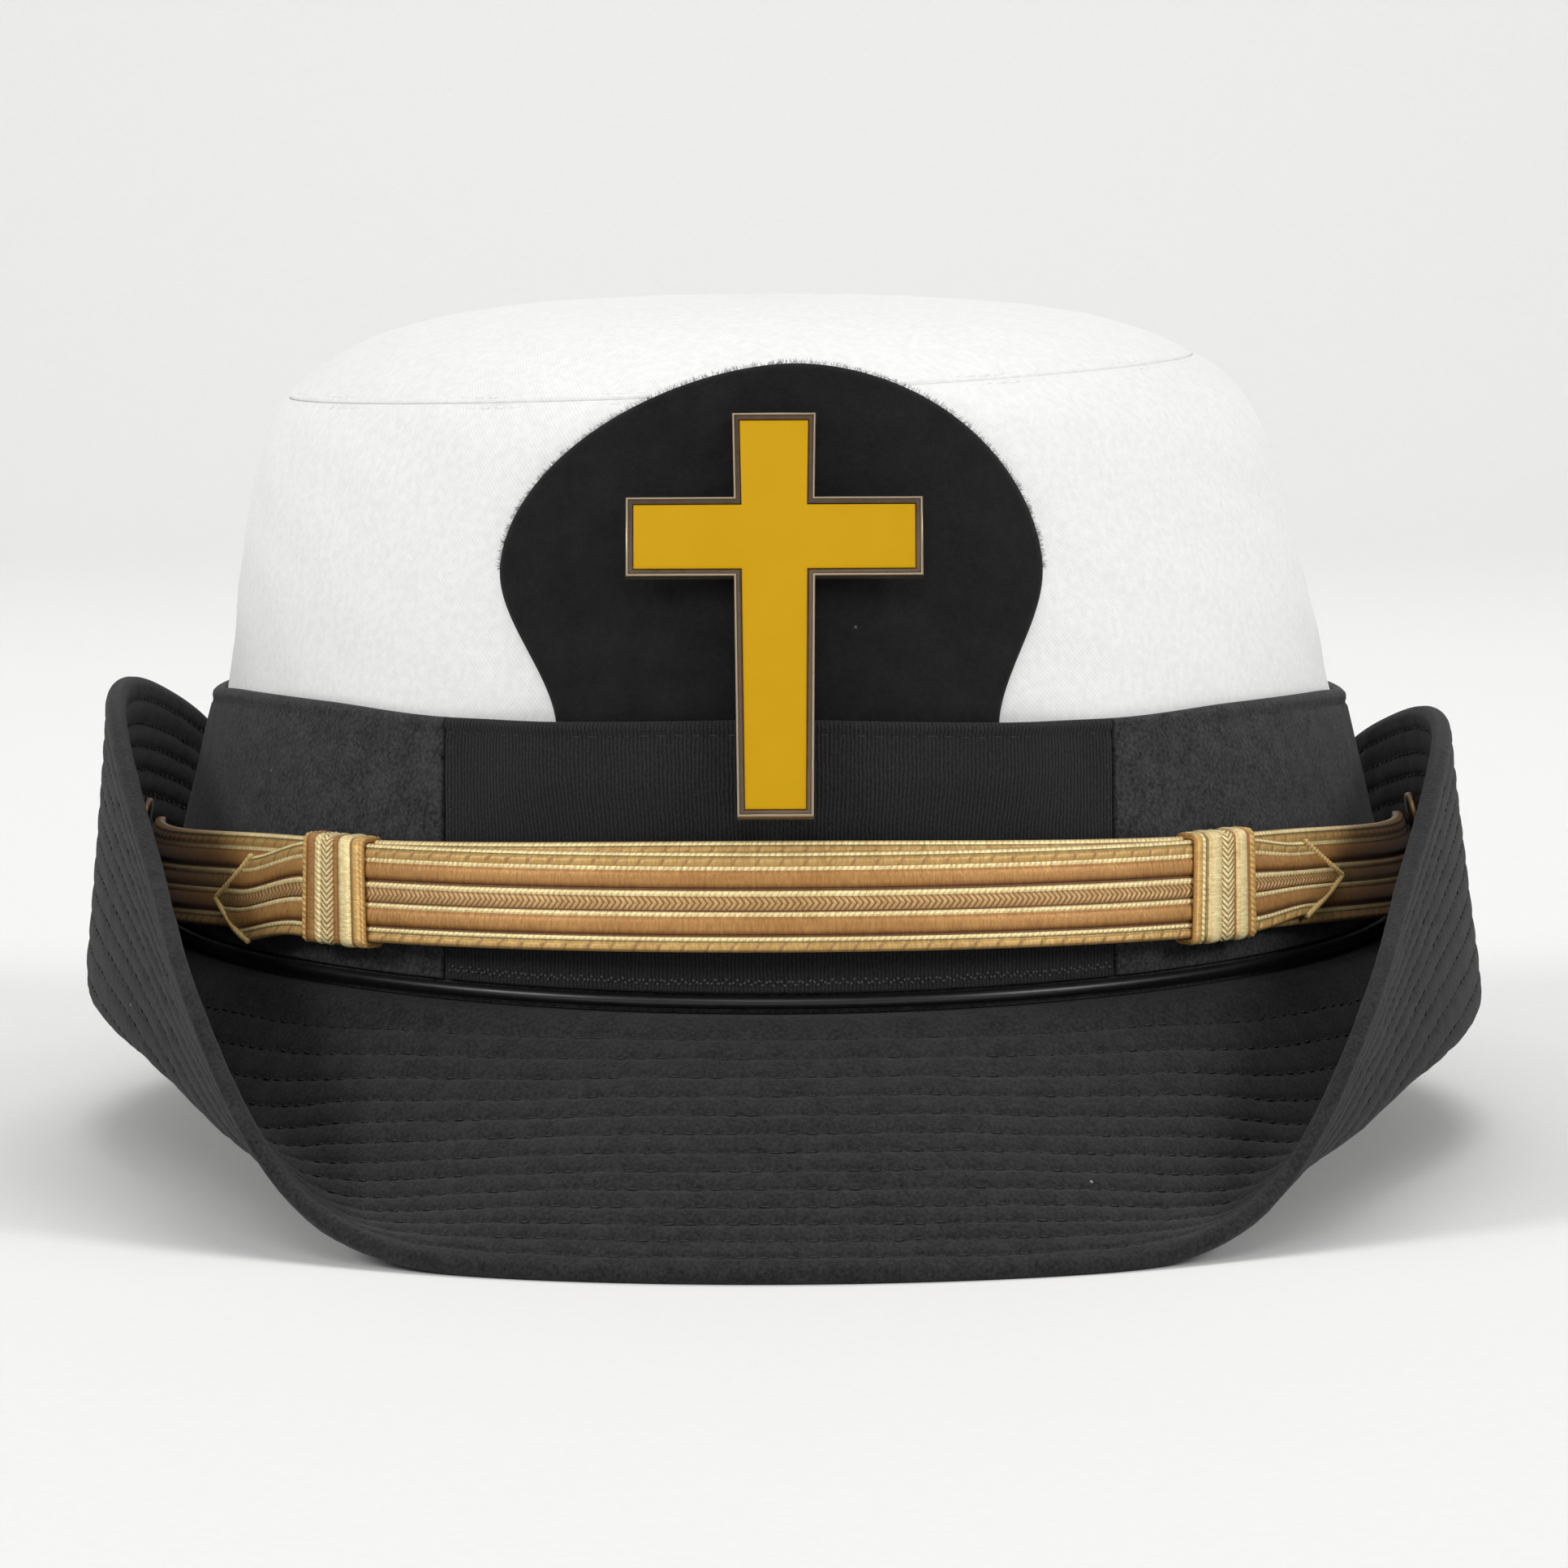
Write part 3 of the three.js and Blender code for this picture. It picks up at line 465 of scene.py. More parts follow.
def wall_section(wall, radius, face_shares, inner_shares, edge_spans=4):
    """Closed section of a cloth wall: up its outer face, over a rounded edge, down its inner face
    and round the other edge. Each point has its share of the way along the wall, a shift in
    millimetres along it, and its depth, which is 0 on the outer face and negative behind it."""
    turn = np.linspace(0, math.pi / 2, edge_spans + 1)[1:]
    back = inner_shares[::-1][1:]
    share = [face_shares, 1 + 0 * turn, 1 + 0 * turn, back, 0 * turn, 0 * turn]
    shift = [
        radius * (1 - 2 * face_shares),
        radius * (np.sin(turn) - 1),
        radius * (np.cos(turn) - 1),
        radius * (1 - 2 * back),
        radius * (1 - np.sin(turn)),
        radius * (1 - np.cos(turn)),
    ]
    depth = [
        0 * face_shares,
        radius * (np.cos(turn) - 1),
        -wall + radius * (1 - np.sin(turn)),
        -wall + 0 * back,
        -wall + radius * (1 - np.cos(turn)),
        radius * (np.sin(turn) - 1),
    ]
    return np.concatenate(share), np.concatenate(shift), np.concatenate(depth)


def groove(distance, width, depth):
    return -depth * np.exp(-((distance / width) ** 2))


def ripple(along, across, wavelengths, size, whole=None):
    """Slight unevenness of sewn cloth: a few waves whose phase drifts across the piece.
    Round a ring, whole is its length, and a whole number of waves goes into it."""
    total = 0
    for k, wavelength in enumerate(wavelengths):
        if whole:
            wavelength = whole / round(whole / wavelength)
        drift = 1.7 * k + across * (0.31 + 0.17 * k)
        total = total + np.sin(2 * math.pi * along / wavelength + drift)
    return size * total / len(wavelengths)


def fine_ends(length, spans, radius):
    """Places along a piece from 0 to its length, closer together where its ends are rounded."""
    close = radius * (1 - np.cos(np.linspace(0, math.pi / 2, 5)))
    middle = np.linspace(radius, length - radius, spans + 1)[1:-1]
    return np.concatenate((close, middle, length - close[::-1]))


def end_drop(distance, radius):
    """How far a face drops near a cut end that is rounded over a radius."""
    left = np.clip(radius - distance, 0, radius)
    return radius - np.sqrt(np.maximum(radius**2 - left**2, 0))


# Making pieces

def keep(shape, name, material, node=None, sharp=None):
    """Stores a finished shape, which is in metres, as a piece of the cap."""
    mesh = bpy.data.meshes.new(name)
    for face in shape.faces:
        face.smooth = True
    shape.to_mesh(mesh)
    shape.free()
    if sharp:
        mesh.set_sharp_from_angle(angle=math.radians(sharp))
    return settle(mesh, name, material, node)


def settle(mesh, name, material, node=None):
    mesh.materials.append(material)
    piece = bpy.data.objects.new(name, mesh)
    bpy.context.collection.objects.link(piece)
    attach(piece, "root")
    if node:
        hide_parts(node)
    return piece


def sheet(places, flat):
    """A fine grid moved to its places; flat holds where each point lies in the flat cloth."""
    columns = places.shape[0] - 1
    rows = places.shape[1] - 1
    shape = bmesh.new()
    layer = shape.loops.layers.uv.new("flat_mm")
    bmesh.ops.create_grid(shape, x_segments=columns, y_segments=rows, size=0.5)
    shape.verts.index_update()
    placed = (places + BASE) * MM
    corners = [vert.co + Vector((0.5, 0.5, 0)) for vert in shape.verts]
    where = [(round(corner.x * columns), round(corner.y * rows)) for corner in corners]
    for face in shape.faces:
        for loop in face.loops:
            loop[layer].uv = flat[where[loop.vert.index]]
    for vert, at in zip(shape.verts, where):
        vert.co = placed[at]
    bmesh.ops.remove_doubles(shape, verts=shape.verts, dist=2e-3 * MM)
    open_edges = [edge for edge in shape.edges if edge.is_boundary]
    if open_edges:
        bmesh.ops.holes_fill(shape, edges=open_edges)
    bmesh.ops.recalc_face_normals(shape, faces=shape.faces)
    return shape


def round_cord(centres, normals, radius, sides, pitch=0.0, twist=0.0):
    """A cord along a line; with a pitch its surface is laid in slanting strands."""
    run = run_along(centres)
    ahead = headings(centres)
    side = unit(np.cross(normals, ahead))
    up = np.cross(ahead, side)
    turn = np.linspace(0, 2 * math.pi, sides + 1)
    lay = np.ones((len(run), sides + 1))
    if pitch:
        lay = 1 - twist * (0.5 + 0.5 * np.cos(2 * math.pi * run[:, None] / pitch + turn[None]))
    wide = (radius * lay * np.cos(turn))[..., None] * side[:, None]
    high = (radius * lay * np.sin(turn))[..., None] * up[:, None]
    return sheet(centres[:, None] + wide + high, flat_map(run[:, None], turn[None] * radius))


def stitches_along(line, normals, seam):
    """Places of single stitches along a line: centre and three half axes of each, in millimetres."""
    pitch, length, width, stray = (STITCHES[seam][key] for key in ("pitch", "length", "width", "stray"))
    run = run_along(line)
    at = np.arange(pitch / 2, run[-1], pitch)

    def read(rows, where):
        return np.stack([np.interp(where, run, rows[:, k]) for k in range(3)], axis=-1)

    forward = unit(read(line, at + 0.2) - read(line, at - 0.2))
    normal = unit(read(normals, at))
    side = unit(np.cross(normal, forward))
    centre = read(line, at) + side * rng.normal(0, stray, len(at))[:, None]
    turned_a_little = unit(forward + side * rng.normal(0, stray, len(at))[:, None])
    return np.stack((centre, turned_a_little * length / 2, side * width / 2, normal * width / 2), axis=1)


def joined_stitches(name, places, material):
    """Many stitches as one mesh: one small ball, stretched and repeated at each place."""
    ball = bmesh.new()
    bmesh.ops.create_icosphere(ball, subdivisions=1, radius=1)
    ball.verts.index_update()
    corners = np.array([vert.co[:] for vert in ball.verts])
    faces = np.array([[vert.index for vert in face.verts] for face in ball.faces])
    ball.free()
    places = np.concatenate(places)
    moved = places[:, None, 0] + np.einsum("kj,njc->nkc", corners, places[:, 1:])
    inside_out = np.linalg.det(places[:, 1:]) < 0
    faces = np.where(inside_out[:, None, None], faces[:, ::-1], faces)
    faces = faces + np.arange(len(places))[:, None, None] * len(corners)
    placed = (moved + BASE) * MM
    mesh = bpy.data.meshes.new(name)
    mesh.from_pydata(placed.reshape(-1, 3).tolist(), [], faces.reshape(-1, 3).tolist())
    mesh.shade_smooth()
    return settle(mesh, name, material)


def turned(profile, sides):
    """Shape turned round Z from a profile of (radius, height) that starts and ends on the axis."""
    shape = bmesh.new()
    shape.loops.layers.uv.new("flat_mm")
    verts = [shape.verts.new((radius, 0, height)) for radius, height in profile]
    edges = [shape.edges.new(pair) for pair in zip(verts, verts[1:])]
    bmesh.ops.spin(shape, geom=verts + edges, cent=(0, 0, 0), axis=(0, 0, 1), angle=2 * math.pi,
                   steps=sides, use_merge=True, use_duplicate=False)
    bmesh.ops.remove_doubles(shape, verts=shape.verts, dist=1e-4)
    bmesh.ops.recalc_face_normals(shape, faces=shape.faces)
    return shape


# Making materials

def tint(code):
    """Linear colour of an sRGB hex value."""
    parts = [int(code[k:k + 2], 16) / 255 for k in (1, 3, 5)]
    return tuple(c / 12.92 if c <= 0.04045 else ((c + 0.055) / 1.055) ** 2.4 for c in parts) + (1.0,)


def add(tree, kind, inputs=None, **settings):
    """Adds a node; an input is a value, or a socket that it is linked to."""
    node = tree.nodes.new(kind)
    for key, value in settings.items():
        setattr(node, key, value)
    for key, value in (inputs or {}).items():
        if isinstance(value, bpy.types.NodeSocket):
            tree.links.new(value, node.inputs[key])
        else:
            node.inputs[key].default_value = value
    return node


def start_material(name):
    """A new material, its node tree and the coordinates of its piece in metres."""
    material = bpy.data.materials.new(name)
    material.use_nodes = True
    tree = material.node_tree
    tree.nodes.clear()
    return material, tree, add(tree, "ShaderNodeTexCoord").outputs["Object"]


def flat_axes(tree):
    """The two coordinates of the flat cloth in millimetres: along the piece and across it."""
    flat = add(tree, "ShaderNodeUVMap", uv_map="flat_mm").outputs["UV"]
    axes = add(tree, "ShaderNodeSeparateXYZ", {"Vector": flat})
    return axes.outputs["X"], axes.outputs["Y"]


def end_material(tree, height, strength, depth, inputs):
    """Closes a material with a bump of a depth in millimetres and the main shader."""
    bump = add(tree, "ShaderNodeBump", {"Height": height, "Strength": strength, "Distance": depth * MM})
    shader = add(tree, "ShaderNodeBsdfPrincipled", {**inputs, "Normal": bump.outputs["Normal"]})
    add(tree, "ShaderNodeOutputMaterial", {"Surface": shader.outputs["BSDF"]})


def mixed(tree, factor, first, second):
    """Colour that goes from the first to the second."""
    return add(tree, "ShaderNodeMix", {0: factor, 6: first, 7: second}, data_type="RGBA").outputs[2]


def calc(tree, operation, *values):
    return add(tree, "ShaderNodeMath", dict(enumerate(values)), operation=operation).outputs[0]


def stretch(tree, value, start, end, low=0.0, high=1.0):
    limits = {"Value": value, "From Min": start, "From Max": end, "To Min": low, "To Max": high}
    return add(tree, "ShaderNodeMapRange", limits).outputs[0]


def noise(tree, vector, size, detail=3.0, roughness=0.6):
    """Noise whose spots are about a size in millimetres across, on coordinates in metres."""
    inputs = {"Vector": vector, "Scale": 1 / (size * MM), "Detail": detail, "Roughness": roughness}
    return add(tree, "ShaderNodeTexNoise", inputs).outputs["Fac"]


def lint(tree, place, cell, size, share):
    """Factor that is 1 on small pale specks, one in some cells of a cell size in millimetres."""
    cells = add(tree, "ShaderNodeTexVoronoi", {"Vector": place, "Scale": 1 / (cell * MM)})
    near = calc(tree, "LESS_THAN", cells.outputs["Distance"], size / cell)
    chance = add(tree, "ShaderNodeSeparateColor", {"Color": cells.outputs["Color"]}).outputs[0]
    return calc(tree, "MULTIPLY", near, calc(tree, "LESS_THAN", chance, share))


def wool_cloth(name, dark, light):
    """Black wool serge: matt, napped cloth of 0.4 mm yarns with mottled lighter fibres and some lint."""
    material, tree, place = start_material(name)
    fibres = noise(tree, place, 0.5, 4, 0.7)
    patches = noise(tree, place, 3, 3)
    mottle = calc(tree, "MULTIPLY_ADD", patches, 0.35, fibres)
    cloth = mixed(tree, stretch(tree, mottle, 0.5, 0.85), tint(dark), tint(light))
    colour = mixed(tree, lint(tree, place, 6, 0.22, 0.25), cloth, tint("#8c8a88"))
    end_material(tree, fibres, 0.55, 0.25, {
        "Base Color": colour, "Roughness": 0.92, "Specular IOR Level": 0.25,
        "Sheen Weight": 0.07, "Sheen Roughness": 0.5})
    return material


def ribbed_braid():
    """Black mohair braid: fine upright ribs, 0.5 mm apart, with fuzzy picks across them."""
    material, tree, place = start_material("ribbed_mohair_braid")
    across = flat_axes(tree)[0]
    drift = calc(tree, "MULTIPLY", noise(tree, place, 3, 2), 0.5)
    turns = calc(tree, "MULTIPLY", calc(tree, "ADD", across, drift), 2 * math.pi / 0.5)
    ribs = calc(tree, "SINE", turns)
    picks = noise(tree, place, 0.35, 3, 0.7)
    height = calc(tree, "MULTIPLY_ADD", ribs, 0.22, picks)
    colour = mixed(tree, stretch(tree, height, 0.2, 0.8), tint("#0b0b0c"), tint("#29292b"))
    end_material(tree, height, 0.7, 0.25, {
        "Base Color": colour, "Roughness": 0.88, "Specular IOR Level": 0.25, "Sheen Weight": 0.06})
    return material


def white_twill():
    """White cotton and polyester twill: tight diagonals, drawn 0.7 mm apart so that they show."""
    material, tree, place = start_material("white_twill")
    diagonal = calc(tree, "ADD", *flat_axes(tree))
    twill = calc(tree, "SINE", calc(tree, "MULTIPLY", diagonal, 2 * math.pi / 0.7))
    slubs = noise(tree, place, 1.1, 4, 0.65)
    height = calc(tree, "MULTIPLY_ADD", twill, 0.12, slubs)
    colour = mixed(tree, stretch(tree, height, 0.3, 0.7), tint("#e9e9e8"), tint("#f5f5f4"))
    end_material(tree, height, 0.3, 0.12, {
        "Base Color": colour, "Roughness": 0.85, "Specular IOR Level": 0.3, "Sheen Weight": 0.08})
    return material


def coated_piping():
    """Coated piping: black polyurethane over a cord, smooth and glossy with a faint grain."""
    material, tree, place = start_material("coated_piping")
    grain = noise(tree, place, 1.4)
    colour = mixed(tree, grain, tint("#070708"), tint("#151516"))
    end_material(tree, grain, 0.2, 0.1, {
        "Base Color": colour, "Roughness": stretch(tree, grain, 0, 1, 0.3, 0.45), "IOR": 1.5})
    return material


def black_felt():
    """Black wool felt: no weave, matted fibres of about 0.4 mm and a few specks of lint."""
    material, tree, place = start_material("black_felt")
    height = calc(tree, "ADD", noise(tree, place, 0.5, 6, 0.75), noise(tree, place, 4))
    cloth = mixed(tree, stretch(tree, height, 0.7, 1.3), tint("#0e0e0e"), tint("#1c1c1d"))
    colour = mixed(tree, lint(tree, place, 7, 0.2, 0.3), cloth, tint("#5a5856"))
    end_material(tree, height, 0.6, 0.3, {
        "Base Color": colour, "Roughness": 0.97, "Specular IOR Level": 0.15,
        "Sheen Weight": 0.06, "Sheen Roughness": 0.6})
    return material


def sewing_thread(name, dark, light):
    """Twisted polyester thread with a slight gloss."""
    material, tree, place = start_material(name)
    twist = noise(tree, place, 0.3, 2)
    end_material(tree, twist, 0.4, 0.1, {
        "Base Color": mixed(tree, twist, tint(dark), tint(light)), "Roughness": 0.6})
    return material


def herringbone_middle(strands):
    """Place across the lace of the line where the threads of its herringbone strand turn."""
    k = [strand["lay"] for strand in strands].index("herringbone")
    return (strands[k]["start"] + strands[k + 1]["start"]) / 2


def gold_lace(name, strands, width):
    """Gold lace of metal-wound cords and satin stripes, with a soft gloss, weft threads and patches of
    tarnish. Its colour holds painted shade: each strand darker towards its edges, brown in the valleys of its
    twists and the breaks of its braid, and the whole lace darker near the buttons. On the flat map X runs
    along it and Y across it. Its weft, really 0.2 mm, is drawn 0.35 mm wide."""
    material, tree, place = start_material(name)
    along, across = flat_axes(tree)
    share = calc(tree, "DIVIDE", across, width)
    stripes = add(tree, "ShaderNodeValToRGB", {"Fac": share})
    lays = add(tree, "ShaderNodeValToRGB", {"Fac": share})
    marks = {"flat": (0, 0, 0, 1), "satin": (0, 0, 0, 1), "cord": (0.35, 0, 0, 1),
             "herringbone": (0, 0, 0.9, 1), "braid": (0, 0.5, 0, 1)}
    for ramp in (stripes, lays):
        ramp.color_ramp.interpolation = "CONSTANT"
        ramp.color_ramp.elements.remove(ramp.color_ramp.elements[1])
    # Painted shade across each strand: this ramp is lightest at a strand's middle and darker at its edges,
    # most on satin.
    crests = add(tree, "ShaderNodeValToRGB", {"Fac": share})
    crests.color_ramp.interpolation = "EASE"
    crests.color_ramp.elements[1].color = (0, 0, 0, 1)
    ends = [strand["start"] for strand in strands[1:]] + [width]
    for k, (strand, end) in enumerate(zip(strands, ends)):
        colour = tint(LACE_COLOURS[strand["colour"]])
        foot = (0, 0, 0, 1) if strand["lay"] == "satin" else (0.5, 0.5, 0.5, 1)
        for ramp, value in ((stripes, colour), (lays, marks[strand["lay"]]), (crests, foot)):
            stops = ramp.color_ramp.elements
            stop = stops.new(strand["start"] / width) if k else stops[0]
            stop.color = value
        crest = crests.color_ramp.elements.new((strand["start"] + end) / 2 / width)
        crest.color = (1, 1, 1, 1)
    kinds = add(tree, "ShaderNodeSeparateColor", {"Color": lays.outputs["Color"]})
    slanted = calc(tree, "MULTIPLY_ADD", across, -LACE_SLANT, along)
    away = calc(tree, "ABSOLUTE", calc(tree, "SUBTRACT", across, herringbone_middle(strands)))
    turned_back = calc(tree, "MULTIPLY_ADD", away, HERRINGBONE_SLANT, along)
    # Painted shade in the recesses: the valleys between the twists of cords and herringbone, and the breaks
    # of the braid, are mixed towards brown.
    valleys = []
    for run, kind in ((slanted, "Red"), (turned_back, "Blue")):
        wave = calc(tree, "COSINE", calc(tree, "MULTIPLY", run, 2 * math.pi / CORD_PITCH))
        valleys.append(calc(tree, "MULTIPLY", stretch(tree, wave, 0.1, -0.9), kinds.outputs[kind]))
    valley = calc(tree, "MAXIMUM", *valleys)
    block = calc(tree, "PINGPONG", slanted, BRAID_PITCH / 2)
    gap = calc(tree, "MULTIPLY", stretch(tree, block, 0.4, 0.0), kinds.outputs["Green"])
    weft = add(tree, "ShaderNodeCombineXYZ", {
        "X": calc(tree, "MULTIPLY", along, MM), "Y": calc(tree, "MULTIPLY", across, 0.2 * MM)}).outputs[0]
    threads = noise(tree, weft, 0.35, 3, 0.75)
    tarnish = stretch(tree, noise(tree, place, 5), 0.3, 0.7, 0.88, 1.1)
    rounded = stretch(tree, crests.outputs["Color"], 0, 0.75, 0.5, 1)
    # Painted shade of the flaps: the lace darkens towards the buttons, from LACE_SHADE_START_X to
    # LACE_SHADE_FULL_X out from the middle.
    sideways = add(tree, "ShaderNodeSeparateXYZ", {"Vector": place}).outputs["X"]
    flap_painted_shade = stretch(tree, calc(tree, "ABSOLUTE", sideways), LACE_SHADE_START_X * MM,
                             LACE_SHADE_FULL_X * MM, 1, LACE_END_SHADE)
    light = calc(tree, "MULTIPLY", stretch(tree, threads, 0.3, 0.7, 0.72, 1.35), tarnish)
    tone_and_painted_shade = calc(tree, "MULTIPLY", light, calc(tree, "MULTIPLY", rounded, flap_painted_shade))
    # Where the tone and the painted shade are darker, they turn warm brown rather than grey.
    warm = add(tree, "ShaderNodeCombineColor", {
        "Red": calc(tree, "POWER", tone_and_painted_shade, 0.75),
        "Green": tone_and_painted_shade,
        "Blue": calc(tree, "POWER", tone_and_painted_shade, 1.3)}).outputs[0]
    toned = add(tree, "ShaderNodeMix", {0: 1.0, 6: stripes.outputs["Color"], 7: warm},
                data_type="RGBA", blend_type="MULTIPLY").outputs[2]
    colour = mixed(tree, calc(tree, "MAXIMUM", valley, gap), toned, tint("#7d5228"))
    end_material(tree, threads, 0.5, 0.2, {
        "Base Color": colour, "Metallic": 0.3, "Roughness": 0.42, "Sheen Weight": 0.06})
    return material


def aged_bronze(name, dark, light, roughness):
    """Antiqued bronze: dark patina in patches over warmer rubbed metal."""
    material, tree, place = start_material(name)
    patina = noise(tree, place, 2.4, 5)
    colour = mixed(tree, stretch(tree, patina, 0.35, 0.65), tint(dark), tint(light))
    end_material(tree, patina, 0.15, 0.06, {
        "Base Color": colour, "Metallic": 1.0,
        "Roughness": stretch(tree, patina, 0, 1, roughness - 0.08, roughness + 0.1)})
    return material


def cross_bronze():
    """The same bronze on the cross: its outer arris is rubbed bright and its channel stays dark.
    On the flat map X is the distance in from the outline."""
    material, tree, place = start_material("antiqued_bronze")
    inset = flat_axes(tree)[0]
    patina = noise(tree, place, 1.6, 5)
    edge = calc(tree, "MULTIPLY_ADD", patina, 0.12, inset)
    channel = stretch(tree, edge, 0.24, 0.34)
    dark = mixed(tree, patina, tint("#4c4036"), tint("#6d5d4d"))
    bright = mixed(tree, patina, tint("#a09078"), tint("#c0ae92"))
    end_material(tree, patina, 0.12, 0.05, {
        "Base Color": mixed(tree, channel, bright, dark), "Metallic": 1.0,
        "Roughness": stretch(tree, patina, 0, 1, 0.3, 0.5)})
    return material


def fired_enamel():
    """Yellow soft enamel, filled and fired flat: an even colour with faint clouds under a clear gloss."""
    material, tree, place = start_material("yellow_enamel")
    clouds = noise(tree, place, 14)
    colour = mixed(tree, clouds, tint("#c09200"), tint("#cd9e06"))
    end_material(tree, clouds, 0.1, 0.2, {
        "Base Color": colour, "Roughness": 0.45, "IOR": 1.5, "Specular IOR Level": 0.12})
    return material


def studio_paper():
    """Matt off-white background paper with a faint fibre."""
    material, tree, place = start_material("studio_paper")
    fibre = noise(tree, place, 2)
    colour = mixed(tree, fibre, tint("#f0f0ef"), tint("#f5f5f4"))
    end_material(tree, fibre, 0.1, 0.1, {"Base Color": colour, "Roughness": 0.95, "Specular IOR Level": 0.1})
    return material


# Crown

def crown(material, thread):
    angle = np.linspace(0, 360, 241)[:, None]
    seam = seam_along(angle)
    foot = crown_along(base_z(angle) - BRIM_DROP + BRIM_WALL / 2 + GAP + CROWN_WALL * BAND_SIDE_SLOPE)
    close = np.linspace(0, 1, 61) ** 1.6
    even = np.linspace(0, 1, 25)

    def placed(share, shift, depth, low, high):
        along = lerp(low, high, share) + shift
        relief = groove(np.abs(along - seam) - TOPSTITCH_AWAY, 0.35, 0.07)
        relief = relief + ripple(girth(angle), along, (23, 37, 61), 0.16, girth(360))
        relief = relief * (depth == 0) * smooth(CROWN_LENGTH - along, 0, 25)
        return crown_face(angle, along, depth + relief), flat_map(girth(angle), along)

    side = wall_section(CROWN_WALL, CROWN_EDGE_RADIUS, 1 - close[::-1], even)
    shape = sheet(*placed(*side, foot, seam - SEAM_SLIT / 2))
    keep(shape, "crown_wall", material, "crown_side")

    # The tip's section is open at the top, where it closes to a point
    share, shift, depth = wall_section(CROWN_WALL, CROWN_EDGE_RADIUS, close, even)
    outer_top = len(close) - 1
    inner_top = outer_top + 8
    order = np.r_[inner_top:len(share), 1:outer_top + 1]
    share, depth = share[order], depth[order]
    shift = shift[order] + CROWN_EDGE_RADIUS * share
    places, flat = placed(share, shift, depth, seam + SEAM_SLIT / 2, CROWN_LENGTH)
    for end in (0, -1):
        places[:, end] = places[:, end].mean(axis=0)
    keep(sheet(places, flat), "crown_tip", material, "crown_top")

    rows = []
    for away in (-TOPSTITCH_AWAY, TOPSTITCH_AWAY):
        line = crown_face(angle, seam + away, -0.14 + 0 * angle)[:, 0]
        normals = unit(crown_face(angle, seam + away, 1 + 0 * angle)[:, 0] - line)
        rows.append(stitches_along(line, normals, "crown_seam"))
    joined_stitches("crown_topstitching", rows, thread)


# Band

def seam_angle(z):
    return np.degrees(np.arcsin(PANEL_HALF_WIDTH / (BAND_HALF_WIDTH - BAND_SIDE_SLOPE * z)))


def front_angle(part, z):
    return lerp(-seam_angle(z), seam_angle(z), part)


def side_angle(part, z):
    clearance = math.degrees(GAP / (BAND_HALF_WIDTH - BAND_SIDE_SLOPE * BAND_TOP_FRONT))
    return lerp(seam_angle(z) + clearance, 360 - seam_angle(z) - clearance, part)


def band_panel(length, spans, angle_at, bulge, welt):
    """One panel of the band, with a rolled welt along its upper edge and rounded ends."""
    away = fine_ends(length, spans, BAND_EDGE_RADIUS)[:, None]
    part = away / length
    shares = np.linspace(0, 1, 61)
    share, shift, depth = wall_section(BAND_WALL, BAND_EDGE_RADIUS, shares, shares[::5])
    level = angle_at(part, BAND_TOP_FRONT * share)
    low, high = base_z(level), band_top_z(level)
    z = lerp(low, high, share) + shift
    angle = angle_at(part, z)
    below_top = high - z
    across_roll = 2 * below_top / BAND_TOP_ROLL - 1
    relief = 0.25 * welt * np.sqrt(np.clip(1 - across_roll**2, 0, 1))
    relief = relief + groove(below_top - BAND_STITCH_DROP, 0.28, 0.3) + groove(z - low - 1.2, 0.35, 0.12)
    relief = relief + ripple(away, z, (9, 17, 31), 0.08)
    drop = end_drop(np.minimum(away, length - away), BAND_EDGE_RADIUS)
    out = depth + relief * (depth == 0) - drop * (depth > -BAND_WALL / 2)
    places = band_point(angle, z, out + bulge(angle, z))
    return sheet(places, flat_map(away, z))


def no_bulge(angle, z):
    return 0 * angle


def band(wool, ribbed, thread, pale_thread):
    seam = float(girth(seam_angle(0)))
    shape = band_panel(2 * seam, 150, front_angle, panel_bulge, 1)
    keep(shape, "band_panel", ribbed, "band_front")
    shape = band_panel(float(girth(360)) - 2 * seam, 300, side_angle, no_bulge, 0.6)
    keep(shape, "band_cloth", wool, "band_side")

    rows = []

    def sew(angle, z, out, seam):
        rows.append(stitches_along(band_point(angle, z, out), outward_at(angle), seam))

    parts = np.linspace(0.005, 0.995, 400)
    for angle_at, bulge in ((front_angle, panel_bulge), (side_angle, no_bulge)):
        angle = angle_at(parts, BAND_TOP_FRONT)
        z = band_top_z(angle) - BAND_STITCH_DROP
        sew(angle, z, -0.24 + bulge(angle, z), "band_top")
    z = np.linspace(1, BAND_TOP_FRONT - 1, 40)
    for side in (-1, 1):
        for beside in (-SEAM_STITCH_AWAY, SEAM_STITCH_AWAY):
            sew(side * (seam_angle(z) + np.degrees(beside / BAND_HALF_WIDTH)), z, -0.05, "band_seam")
    joined_stitches("band_stitching", rows, thread)

    # Zigzag along the foot of the front panel
    rows.clear()
    angle = front_angle(np.linspace(0.005, 0.995, 3000), 0)
    zigzag = np.abs(girth(angle) / ZIGZAG_PITCH % 1 - 0.5) * 4 - 1
    z = base_z(angle) + ZIGZAG_RISE + ZIGZAG_HEIGHT * zigzag
    sew(angle, z, 0, "zigzag")
    joined_stitches("panel_zigzag", rows, pale_thread)


